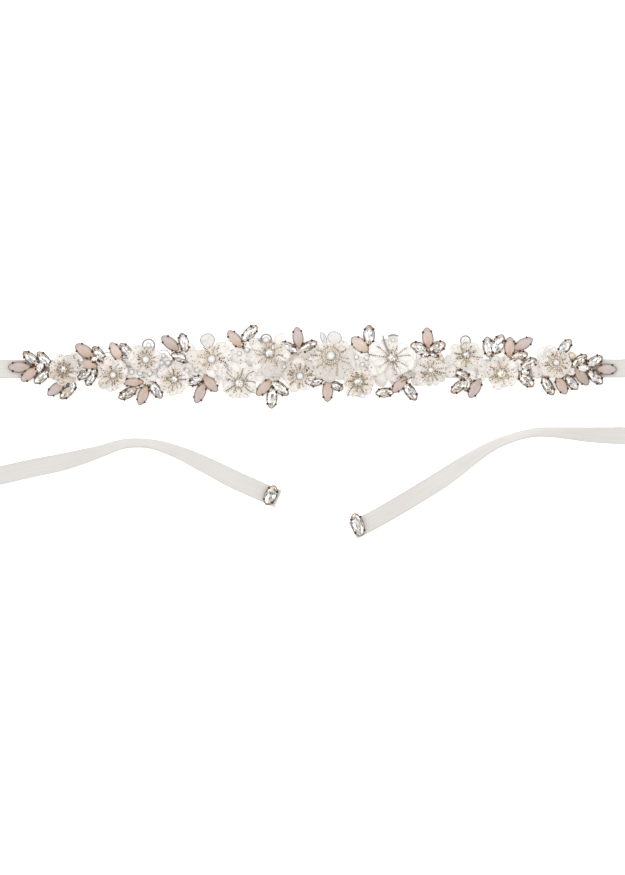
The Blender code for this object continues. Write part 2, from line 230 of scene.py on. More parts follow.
# Fine mottling: a mask from 0 to 1 and a shaded colour, at a scale in points per metre
def makeGrainGroup():
    group = bpy.data.node_groups.new("grain", "ShaderNodeTree")
    for way, name, kind in (
            ("INPUT", "Vector", "Vector"), ("INPUT", "Scale", "Float"), ("INPUT", "Light", "Color"),
            ("INPUT", "Dark", "Color"), ("OUTPUT", "Colour", "Color"), ("OUTPUT", "Mask", "Float")):
        group.interface.new_socket(name, in_out=way, socket_type=f"NodeSocket{kind}")
    inside = addNode(group, "NodeGroupInput").outputs
    noise = addNode(group, "ShaderNodeTexNoise", {
        "Vector": inside["Vector"], "Scale": inside["Scale"], "Detail": 3.0, "Roughness": 0.6})
    spread = addNode(group, "ShaderNodeMapRange", {
        "Value": noise.outputs["Fac"], "From Min": 0.35, "From Max": 0.65}).outputs["Result"]
    blend = addNode(group, "ShaderNodeMix", {
        "Factor": spread, "A": inside["Light"], "B": inside["Dark"]}, data_type="RGBA")
    addNode(group, "NodeGroupOutput", {"Colour": blend.outputs["Result"], "Mask": spread})
    return group


def useGrain(tree, vector, scale, light, dark):
    values = {"Vector": vector, "Scale": scale, "Light": (*light, 1.0), "Dark": (*dark, 1.0)}
    return addNode(tree, "ShaderNodeGroup", values, node_tree=grainGroup).outputs


# A Principled material whose colour and roughness are mottled by the grain group
def grainMaterial(name, light, dark, scale, roughness, bump, metallic):
    material, tree, shader = newMaterial(name, Metallic=metallic)
    place = addNode(tree, "ShaderNodeTexCoord").outputs["Object"]
    grain = useGrain(tree, place, scale, light, dark)
    rough = addNode(tree, "ShaderNodeMapRange", {
        "Value": grain["Mask"], "To Min": roughness[0], "To Max": roughness[1]})
    feed(shader, {"Base Color": grain["Colour"], "Roughness": rough.outputs["Result"]})
    if bump:
        addBump(tree, shader, grain["Mask"], bump, 0.0001)
    return material


# Colour from the mesh's own tint, a little mottled
def tintedMaterial(name, roughness, mottle, scale, values):
    material, tree, shader = newMaterial(name, Roughness=roughness, **values)
    tint = addNode(tree, "ShaderNodeAttribute", attribute_name="tint")
    place = addNode(tree, "ShaderNodeTexCoord").outputs["Object"]
    cloud = useGrain(tree, place, scale, (1.0, 1.0, 1.0), (1.0 - mottle, 1.0 - mottle, 1.0 - mottle))
    mixed = multiplyColour(tree, 1.0, tint.outputs["Color"], cloud["Colour"])
    feed(shader, {"Base Color": mixed})
    return material, tree, shader, tint, mixed


def satinMaterial():
    look = {"light": (0.672, 0.655, 0.636), "dark": (0.628, 0.611, 0.592), "threadsPerMetre": 5200.0,
            "streaks": 900.0, "ribsPerMetre": 770.0, "ribShade": (0.86, 0.85, 0.83), "ribDepth": 0.07,
            "roughness": 0.36, "sheen": 0.25, "sheenRoughness": 0.35}
    material, tree, shader = newMaterial("satin", Roughness=look["roughness"], **{
        "Sheen Weight": look["sheen"], "Sheen Roughness": look["sheenRoughness"]})
    place = addNode(tree, "ShaderNodeUVMap", uv_map="weave").outputs["UV"]
    stretch = addNode(tree, "ShaderNodeMapping", {"Vector": place, "Scale": (1.0, 0.02, 1.0)})
    grain = useGrain(tree, stretch.outputs["Vector"], look["streaks"], look["light"], look["dark"])
    ribs = addNode(tree, "ShaderNodeTexWave", {
        "Vector": place, "Scale": look["ribsPerMetre"] / 6.28, "Distortion": 0.8}, bands_direction="Y")
    depth = calculate(tree, "MULTIPLY", ribs.outputs["Fac"], look["ribDepth"])
    feed(shader, {"Base Color": multiplyColour(tree, depth, grain["Colour"], (*look["ribShade"], 1.0))})
    threads = addNode(tree, "ShaderNodeTexWave", {
        "Vector": place, "Scale": look["threadsPerMetre"] / 6.28, "Distortion": 0.6})
    addBump(tree, shader, threads.outputs["Fac"], 0.25, 0.00005)
    return material


# Organza petals: tint and opacity come with the mesh, and fine gathers run along each petal, with painted
# shade in their hollows
def petalMaterial():
    look = {"gathers": 34.0, "gatherShade": (0.87, 0.84, 0.81), "gatherShadeDepth": 0.5, "shadowLoss": -0.85}
    material, tree, shader, tint, colour = tintedMaterial(
        "organza", 0.42, 0.10, 1500.0, {"Sheen Weight": 0.3, "Specular IOR Level": 0.4})
    across = addNode(tree, "ShaderNodeAttribute", attribute_name="across")
    gather = calculate(tree, "SINE", calculate(tree, "MULTIPLY", across.outputs["Fac"], look["gathers"]))
    addBump(tree, shader, gather, 0.5, 0.00015)
    # painted shade: the hollows of the gathers are darkened
    gatherShade = addNode(tree, "ShaderNodeMapRange", {
        "Value": gather, "From Min": -1.0, "From Max": 1.0, "To Min": look["gatherShadeDepth"], "To Max": 0.0})
    shadedGathers = multiplyColour(tree, gatherShade.outputs["Result"], colour, (*look["gatherShade"], 1.0))
    path = addNode(tree, "ShaderNodeLightPath").outputs
    soft = calculate(tree, "MAXIMUM", path["Is Shadow Ray"], path["Is Diffuse Ray"])
    passing = calculate(tree, "MULTIPLY_ADD", soft, look["shadowLoss"], 1.0)
    opacity = calculate(tree, "MULTIPLY", tint.outputs["Alpha"], passing)
    feed(shader, {"Base Color": shadedGathers, "Alpha": opacity})
    return material


tinted = {
    # roughness, mottling, its scale, further values
    "opal": (0.22, 0.08, 900.0, {"Coat Weight": 0.5, "Coat Roughness": 0.08}),
    # foiled cut glass: bright mirror-like facets under a clear coat; the facets' colours are painted
    # highlights and painted reflections
    "crystal": (0.06, 0.05, 600.0, {"Metallic": 0.85, "Coat Weight": 1.0, "Coat Roughness": 0.02}),
    "pearl": (0.2, 0.06, 500.0, {"Coat Weight": 0.7, "Coat Roughness": 0.08, "Sheen Weight": 0.1}),
    "seedBead": (0.2, 0.12, 1200.0, {"Coat Weight": 0.6, "Coat Roughness": 0.1}),
}
grained = {
    # light colour, dark colour, scale, least and most roughness, bump, metallic
    "antiqueRoseGold": ((0.28, 0.185, 0.135), (0.15, 0.09, 0.06), 700.0, (0.25, 0.4), 0.2, 1.0),
    # the prongs: the setting's rose gold darkened as painted shade; the joint bead, dark itself, takes it
    # too
    "shadedProngAndJoint": ((0.13, 0.075, 0.05), (0.07, 0.038, 0.024), 900.0, (0.3, 0.45), 0.2, 1.0),
    "paleGoldCup": ((0.70, 0.62, 0.52), (0.46, 0.38, 0.29), 700.0, (0.2, 0.35), 0.2, 1.0),
    "goldBead": ((0.66, 0.52, 0.34), (0.42, 0.31, 0.19), 800.0, (0.15, 0.3), 0.0, 0.7),
    "bronzeBead": ((0.22, 0.145, 0.09), (0.12, 0.075, 0.045), 800.0, (0.2, 0.35), 0.0, 0.7),
    "silverBead": ((0.50, 0.46, 0.43), (0.30, 0.27, 0.25), 800.0, (0.15, 0.3), 0.0, 0.6),
    "darkWire": ((0.17, 0.14, 0.12), (0.10, 0.08, 0.07), 600.0, (0.3, 0.45), 0.0, 0.9),
    "hemCloth": ((0.90, 0.87, 0.83), (0.82, 0.785, 0.74), 1500.0, (0.4, 0.6), 0.0, 0.0),
    "paleWire": ((0.70, 0.67, 0.63), (0.56, 0.53, 0.49), 600.0, (0.3, 0.45), 0.0, 0.3),
    "bandWire": ((0.36, 0.345, 0.33), (0.25, 0.235, 0.225), 600.0, (0.25, 0.4), 0.0, 0.7),
    "thread": ((0.80, 0.78, 0.74), (0.72, 0.70, 0.66), 2000.0, (0.7, 0.8), 0.0, 0.0),
}
grainGroup = makeGrainGroup()
materials = {"satin": satinMaterial(), "organza": petalMaterial()}
for materialName, values in tinted.items():
    materials[materialName] = tintedMaterial(materialName, *values)[0]
for materialName, values in grained.items():
    materials[materialName] = grainMaterial(materialName, *values)
print("materials made")


# Camera, light and floor

view = {"wide": 448.4, "high": 627.8, "centre": (0.0, -49.1), "lens": 135.0, "sensor": 36.0}
camera = bpy.data.objects.new("camera", bpy.data.cameras.new("camera"))
camera.data.lens = view["lens"]
camera.data.sensor_width = view["sensor"]
cameraHeight = view["high"] / view["sensor"] * view["lens"]
camera.location = Vector((*view["centre"], cameraHeight)) * mm
scene.collection.objects.link(camera)
scene.camera = camera

light = {
    "horizon": 0.78, "zenith": 0.90, "patches": 2.2, "patchRange": (0.62, 1.38),
    "tint": (1.0, 0.985, 0.965), "floorSide": 12000.0, "floorDrop": 0.05, "paper": 0.92, "paperGlow": 0.45,
    "softbox": {"place": (0.0, 90.0, 280.0), "size": (620.0, 90.0), "watts": 0.28},
    "lamps": {
        # name: (azimuth it comes from, elevation, strength, softness)
        "left": (195.0, 55.0, 0.35, 26.0),
        "right": (-20.0, 50.0, 0.32, 26.0),
    },
}
for lampName, (azimuth, elevation, strength, softness) in light["lamps"].items():
    lamp = bpy.data.objects.new(lampName, bpy.data.lights.new(lampName, "SUN"))
    lamp.data.energy = strength
    lamp.data.angle = radians(softness)
    towards = Vector((cos(radians(azimuth)) * cos(radians(elevation)),
                      sin(radians(azimuth)) * cos(radians(elevation)), sin(radians(elevation))))
    lamp.rotation_euler = towards.to_track_quat("Z", "Y").to_euler()
    scene.collection.objects.link(lamp)

# A long softbox behind the waist: what lies further forward gets less of it
box = bpy.data.objects.new("softbox", bpy.data.lights.new("softbox", "AREA"))
box.data.shape = "RECTANGLE"
box.data.size, box.data.size_y = [side * mm for side in light["softbox"]["size"]]
box.data.energy = light["softbox"]["watts"]
box.location = Vector(light["softbox"]["place"]) * mm
box.rotation_euler = box.location.to_track_quat("Z", "Y").to_euler()
scene.collection.objects.link(box)

# A pale room: brighter overhead than at the walls, with soft patches for the cut stones to catch
world = bpy.data.worlds.new("studio")
world.use_nodes = True
sky = world.node_tree
around = addNode(sky, "ShaderNodeTexCoord").outputs["Generated"]
apart = addNode(sky, "ShaderNodeSeparateXYZ", {"Vector": around})
height = addNode(sky, "ShaderNodeMapRange", {
    "Value": apart.outputs["Z"], "To Min": light["horizon"], "To Max": light["zenith"]})
patch = addNode(sky, "ShaderNodeTexNoise", {"Vector": around, "Scale": light["patches"], "Detail": 1.0})
patchGlow = addNode(sky, "ShaderNodeMapRange", {
    "Value": patch.outputs["Fac"], "From Min": 0.3, "From Max": 0.7,
    "To Min": light["patchRange"][0], "To Max": light["patchRange"][1]})
glow = calculate(sky, "MULTIPLY", height.outputs["Result"], patchGlow.outputs["Result"])
feed(sky.nodes["Background"], {"Color": (*light["tint"], 1.0), "Strength": glow})
scene.world = world
scene.view_settings.view_transform = "Standard"

floorMesh = bmesh.new()
bmesh.ops.create_grid(floorMesh, x_segments=1, y_segments=1, size=light["floorSide"] / 2)
bmesh.ops.translate(floorMesh, verts=floorMesh.verts, vec=(0, 0, -light["floorDrop"]))
floorMaterial = newMaterial("paper", Roughness=0.9, **{
    "Base Color": (light["paper"], light["paper"], light["paper"], 1.0),
    "Emission Color": (1.0, 1.0, 1.0, 1.0), "Emission Strength": light["paperGlow"]})[0]
floor = bpy.data.objects.new("floor", finishMesh(floorMesh, "floor", floorMaterial, smooth=False))
scene.collection.objects.link(floor)
print("studio set")


# Satin ribbon

sash = {
    "width": 12.7, "thick": 0.6, "step": 0.65, "across": 10, "picot": 0.2, "picotPitch": 1.3,
    "hemLength": 8.0, "hemRise": 0.6, "hemSlope": 3.0,
    "leftLoop": {"centre": (-266.0, -42.5), "radius": 42.5, "start": 90.0, "end": 283.0, "tilt": -90.0},
    "rightLoop": {"centre": (268.0, -24.0), "radius": 38.0, "start": 115.0, "end": -115.0, "tilt": -90.0},
    "loopRows": 9, "loopEase": 28.0, "loopEntry": 0.68,
    "leftStart": (  # x, y, tilt
        (-206.3, 0.0, 0.0), (-224.0, 0.0, 0.0), (-238.0, 0.0, -15.0), (-252.0, 0.0, -38.0)),
    "leftTail": (
        (-240.0, -80.1, -30.0), (-224.2, -76.4, 0.0), (-201.3, -71.2, 6.0), (-178.3, -66.5, 22.0),
        (-155.3, -60.1, 46.0), (-138.1, -54.4, 58.0), (-126.6, -53.0, 61.0), (-115.2, -53.8, 61.0),
        (-103.7, -56.9, 53.0), (-92.2, -61.3, 45.0), (-80.7, -66.8, 33.0), (-69.2, -72.5, 24.0),
        (-57.8, -78.4, 12.0), (-46.3, -83.7, 3.0), (-24.6, -93.2, 0.0)),
    "rightStart": ((206.3, 0.5, 0.0), (224.0, 0.6, 0.0), (239.0, 3.4, -30.0)),
    "rightTail": (
        (240.0, -51.0, -38.0), (224.2, -48.1, -22.0), (212.7, -47.7, -28.0), (195.5, -47.0, -40.0),
        (178.3, -45.8, -55.0), (163.9, -45.2, -61.0), (155.3, -46.2, -64.0), (145.3, -48.6, -65.0),
        (132.4, -53.4, -61.0), (120.9, -59.7, -53.0), (109.4, -67.3, -39.0), (97.9, -75.5, -22.0),
        (86.5, -83.0, -12.0), (63.5, -97.0, -2.0), (46.3, -106.9, 0.0), (29.0, -115.9, 0.0)),
    "waistStep": 12.4, "waistRise": 0.5, "fineSteps": 16,
}


def loopRows(loop):
    rows = []
    turn = loop["end"] - loop["start"]
    for i in range(sash["loopRows"]):
        share = i / (sash["loopRows"] - 1)
        angle = radians(loop["start"] + turn * share)
        fromEnd = min(share, 1.0 - share) * abs(turn)
        full = min(1.0, sash["loopEntry"] + (1.0 - sash["loopEntry"]) * fromEnd / sash["loopEase"])
        rows.append((loop["centre"][0] + loop["radius"] * cos(angle),
                     loop["centre"][1] + loop["radius"] * sin(angle), loop["tilt"] * full))
    return rows


# One route from the left tail's end to the right tail's end, every row x, y, tilt
def sashRoute():
    left = [*sash["leftStart"], *loopRows(sash["leftLoop"]), *sash["leftTail"]]
    right = [*sash["rightStart"], *loopRows(sash["rightLoop"]), *sash["rightTail"]]
    end = sash["rightStart"][0][0]
    count = round(2 * end / sash["waistStep"])
    waist = []
    for i in range(1, count):
        x = -end + 2 * end * i / count
        waist.append((x, sash["waistRise"] * max(0.0, x) / end, 0.0))
    return [*[(x, y, -tilt) for x, y, tilt in reversed(left)], *waist, *right]


# The rows resampled at an even step along a smooth curve through them
def smoothRoute(rows, step):
    fine = []
    last = len(rows) - 1
    for i in range(last):
        a, b, c, d = [Vector(rows[max(0, min(last, i + k))]) for k in (-1, 0, 1, 2)]
        for k in range(sash["fineSteps"]):
            t = k / sash["fineSteps"]
            fine.append(b + 0.5 * t * (c - a + t * (2 * a - 5 * b + 4 * c - d + t * (3 * (b - c) + d - a))))
    fine.append(Vector(rows[-1]))
    lengths = [0.0]
    for a, b in zip(fine, fine[1:]):
        lengths.append(lengths[-1] + hypot(b.x - a.x, b.y - a.y))
    count = ceil(lengths[-1] / step)
    route = []
    k = 0
    for i in range(count + 1):
        along = lengths[-1] * i / count
        while k < len(lengths) - 2 and lengths[k + 1] < along:
            k += 1
        route.append(fine[k].lerp(fine[k + 1], (along - lengths[k]) / (lengths[k + 1] - lengths[k])))
    return route, lengths[-1]


def easeIn(share):
    share = max(0.0, min(1.0, share))
    return share * share * (3 - 2 * share)


# A grid of threads bent along the route, its lowest edge on the floor
def ribbonStrip(name, route, length, raised):
    bm = bmesh.new()
    rows = len(route) - 1
    bmesh.ops.create_grid(bm, x_segments=rows, y_segments=sash["across"], size=1.0)
    uv = bm.loops.layers.uv.new("weave")
    for v in bm.verts:
        i = round((v.co.x + 1) / 2 * rows)
        side = v.co.y
        x, y, tilt = route[i]
        heading = (route[min(rows, i + 1)] - route[max(0, i - 1)]).xy.normalized()
        tilt = radians(tilt)
        along = length * i / rows
        across = Vector((-heading.y * cos(tilt), heading.x * cos(tilt), -sin(tilt)))
        half = sash["width"] / 2
        if abs(side) > 0.99:
            half += sash["picot"] * (1 + cos(2 * pi * along / sash["picotPitch"]))
        for loop in v.link_loops:
            loop[uv].uv = (side * sash["width"] / 2 * mm, along * mm)
        height = sash["width"] / 2 * abs(across.z) + sash["thick"] / 2 * cos(tilt)
        v.co = Vector((x, y, height + raised(along))) + across * half * side
        v.co.z = max(v.co.z, 0.0)  # the picots that meet the floor fold flat
    piece = addPiece(name, finishMesh(bm, name, materials["satin"]))
    wall = piece.modifiers.new("wall", "SOLIDIFY")
    wall.thickness = sash["thick"] * mm
    wall.offset = 0.0
    return piece


sashRows, sashLength = smoothRoute(sashRoute(), sash["step"])


def hemRaise(along):
    fromEnd = min(along, sashLength - along)
    return sash["hemRise"] * easeIn((sash["hemLength"] + sash["hemSlope"] - fromEnd) / sash["hemSlope"])


ribbon = ribbonStrip("satinRibbon", sashRows, sashLength, hemRaise)
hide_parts("ribbon_waist", "ribbon_left_tie", "ribbon_right_tie")
hemCount = round(sash["hemLength"] / sash["step"])
leftHem = ribbonStrip("leftHem", sashRows[:hemCount], sash["hemLength"], lambda along: 0.0)
rightHem = ribbonStrip("rightHem", sashRows[-hemCount:], sash["hemLength"], lambda along: 0.0)
print("ribbon laid,", round(sashLength), "mm long")


# Pronged stones

stone = {
    "seat": 1.3, "lift": 0.2, "step": 0.05, "rim": 1.9, "wall": 0.32, "foot": 0.8, "segments": 20,
    "bluntness": 0.75, "stemRadius": 0.32, "jointSize": 1.6, "ribbonTop": 0.6, "jointBeads": 6,
    "jointLift": 0.7, "stemInset": 2.4, "stemBow": 0.3, "beadReach": 2, "beadRise": (0.8, 2.2),
    "beadSize": (1.0, 1.5),
    "flare": 0.8, "taper": 0.9, "well": 0.5,  # where the cup's wall stands up, its inside and its depth
    "prong": {"along": 0.29, "size": 1.75, "lift": 0.35, "squash": 0.75, "foot": 0.3, "head": 0.42,
              "postLift": 0.2, "spread": (0.85, 1.1)},
    "opalInset": 0.8, "girdle": 0.8,
    # scale, height
    "dome": ((1.0, 1.7), (0.97, 2.1), (0.88, 2.5), (0.70, 2.85), (0.45, 3.05), (0.2, 3.12)),
    "gemInset": 0.7,
    # scale, height, turn in steps, corners
    "cut": ((0.35, 0.3, 0.5, 6), (1.0, 1.7, 0.0, 16), (0.83, 2.25, 0.5, 16), (0.62, 2.68, 0.0, 10),
            (0.42, 2.92, 0.5, 8), (0.14, 3.02, 0.0, 4)),
    # inner tip, middle, outer tip: a change of hue along the stone, and painted shade that makes the tips,
    # the inner one most, darker than the middle
    "opal": ((0.47, 0.335, 0.245), (0.55, 0.435, 0.37), (0.50, 0.415, 0.38)),
    "mauve": ((0.445, 0.34, 0.28), (0.50, 0.42, 0.39), (0.475, 0.42, 0.425)),
    "dusk": ((0.375, 0.27, 0.20), (0.44, 0.35, 0.30), (0.40, 0.335, 0.305)),
    "peach": ((0.58, 0.44, 0.34), (0.66, 0.54, 0.46), (0.60, 0.50, 0.46)),
    # share of the facets, colour; the colours are painted highlights and painted reflections, with brownish
    # painted shade on the tip facets
    "white": ((0.50, (0.97, 0.97, 0.98)), (0.28, (0.86, 0.84, 0.81)), (0.12, (0.66, 0.58, 0.48)),
              (0.10, (0.30, 0.24, 0.18))),
    "smoke": ((0.20, (0.88, 0.87, 0.86)), (0.26, (0.64, 0.61, 0.57)), (0.24, (0.42, 0.37, 0.32)),
              (0.16, (0.18, 0.14, 0.11)), (0.14, (0.66, 0.53, 0.39))),
    "clear": ((0.28, (0.90, 0.92, 0.96)), (0.24, (0.69, 0.70, 0.72)), (0.21, (0.45, 0.43, 0.41)),
              (0.15, (0.18, 0.145, 0.12)), (0.11, (0.70, 0.57, 0.43))),
    "tipShadedFacets": ((0.20, (0.78, 0.75, 0.71)), (0.35, (0.56, 0.48, 0.39)), (0.28, (0.33, 0.25, 0.19)),
                  (0.17, (0.60, 0.47, 0.33))),
    "centreFacets": ((0.42, (0.95, 0.96, 0.98)), (0.22, (0.78, 0.76, 0.73)), (0.18, (0.58, 0.49, 0.39)),
                     (0.18, (0.28, 0.22, 0.16))),
    "amberFacets": ((0.5, (0.95, 0.92, 0.80)), (0.3, (0.84, 0.79, 0.62)), (0.14, (0.58, 0.49, 0.32)),
                    (0.06, (0.28, 0.22, 0.15))),
}


def navetteRing(bm, length, width, base):
    ring = bmesh.ops.create_circle(bm, cap_ends=True, segments=stone["segments"], radius=1.0)["verts"]
    toNavette(ring, length, width)
    for v in ring:
        v.co.z = base
    return ring, list({e for v in ring for e in v.link_edges})


# A metal cup with an open top
def addSetting(bm, length, width, base):
    ring, edges = navetteRing(bm, length, width, base)
    foot = stone["foot"]
    for v in ring:
        v.co.x *= foot
        v.co.y *= foot
    inner = 1 - 2 * stone["wall"] / width
    made, _ = growRings(bm, ring, edges, [
        (1 / foot, base + stone["rim"] * stone["flare"]), (1 / foot, base + stone["rim"]),
        (inner / foot, base + stone["rim"]), (inner * stone["taper"] / foot, base + stone["well"])])
    return made


# A post up the outside and a bead bent over the stone's edge
def addProngs(bm, length, width, base):
    prong = stone["prong"]
    made = []
    for end, side in ((-1, 1), (-1, -1), (1, 1), (1, -1)):
        x = end * prong["along"] * length
        y = side * navetteEdge(x, length, width)
        size = prong["size"] * random.uniform(*prong["spread"])
        ball = bmesh.ops.create_uvsphere(bm, u_segments=8, v_segments=5, radius=size / 2)["verts"]
        bmesh.ops.scale(bm, verts=ball, vec=(1, 1, prong["squash"]))
        bmesh.ops.translate(bm, verts=ball, vec=(x * 0.98, y * 0.94, base + stone["rim"] + prong["lift"]))
        post = bmesh.ops.create_cone(bm, cap_ends=True, segments=6, radius1=prong["size"] * prong["foot"],
                                     radius2=prong["size"] * prong["head"], depth=stone["rim"])["verts"]
        bmesh.ops.translate(bm, verts=post, vec=(x, y, base + stone["rim"] / 2 + prong["postLift"]))
        made += ball + post
    return made


def addOpal(bm, layer, kind, length, width, base):
    inset = stone["opalInset"]
    ring, edges = navetteRing(bm, length - inset, width - inset, base + stone["girdle"])
    made, edges = growRings(bm, ring, edges, [(scale, base + height) for scale, height in stone["dome"]])
    bmesh.ops.holes_fill(bm, edges=edges, sides=0)
    inner, middle, outer = stone[kind]
    shade = 1 + random.uniform(-0.04, 0.05)
    for v in made:
        share = v.co.x / length * 2
        end = outer if share > 0 else inner
        # lighter in the middle and darker towards the tips: painted shade, along with the change of hue
        colour = Vector(middle).lerp(Vector(end), easeIn(abs(share) * 1.4 - 0.1))
        v[layer] = (*colour * shade * random.uniform(0.97, 1.03), 1.0)
    return made


# A cut stone: the hull of a few rings, each half a step round from the last, every facet painted with its
# own glint from the tables of painted highlights, reflections and tip shade
def addGem(bm, layer, length, width, base, facets):
    points = []
    for scale, height, shift, count in stone["cut"]:
        ring = []
        for i in range(count):
            angle = 2 * pi * (i + shift) / count
            ring.append(bm.verts.new((cos(angle), sin(angle), base + height + random.uniform(-0.02, 0.02))))
        toNavette(ring, length - stone["gemInset"], width - stone["gemInset"])
        for v in ring:
            v.co.x *= scale
            v.co.y *= scale
        points += ring
    hull = bmesh.ops.convex_hull(bm, input=points)
    for face in hull["geom"]:
        if isinstance(face, bmesh.types.BMFace):
            far = abs(face.calc_center_median().x) / length * 2
            atTip = length > width * 1.3 and random.random() < far * 1.5 - 0.55
            chosen = stone["tipShadedFacets"] if atTip else facets
            glint = random.choices([row[1] for row in chosen], [row[0] for row in chosen])[0]
            shade = 1 + random.uniform(-0.08, 0.03)
            for loop in face.loops:
                loop[layer] = (*[value * shade for value in glint], 1.0)
    return points


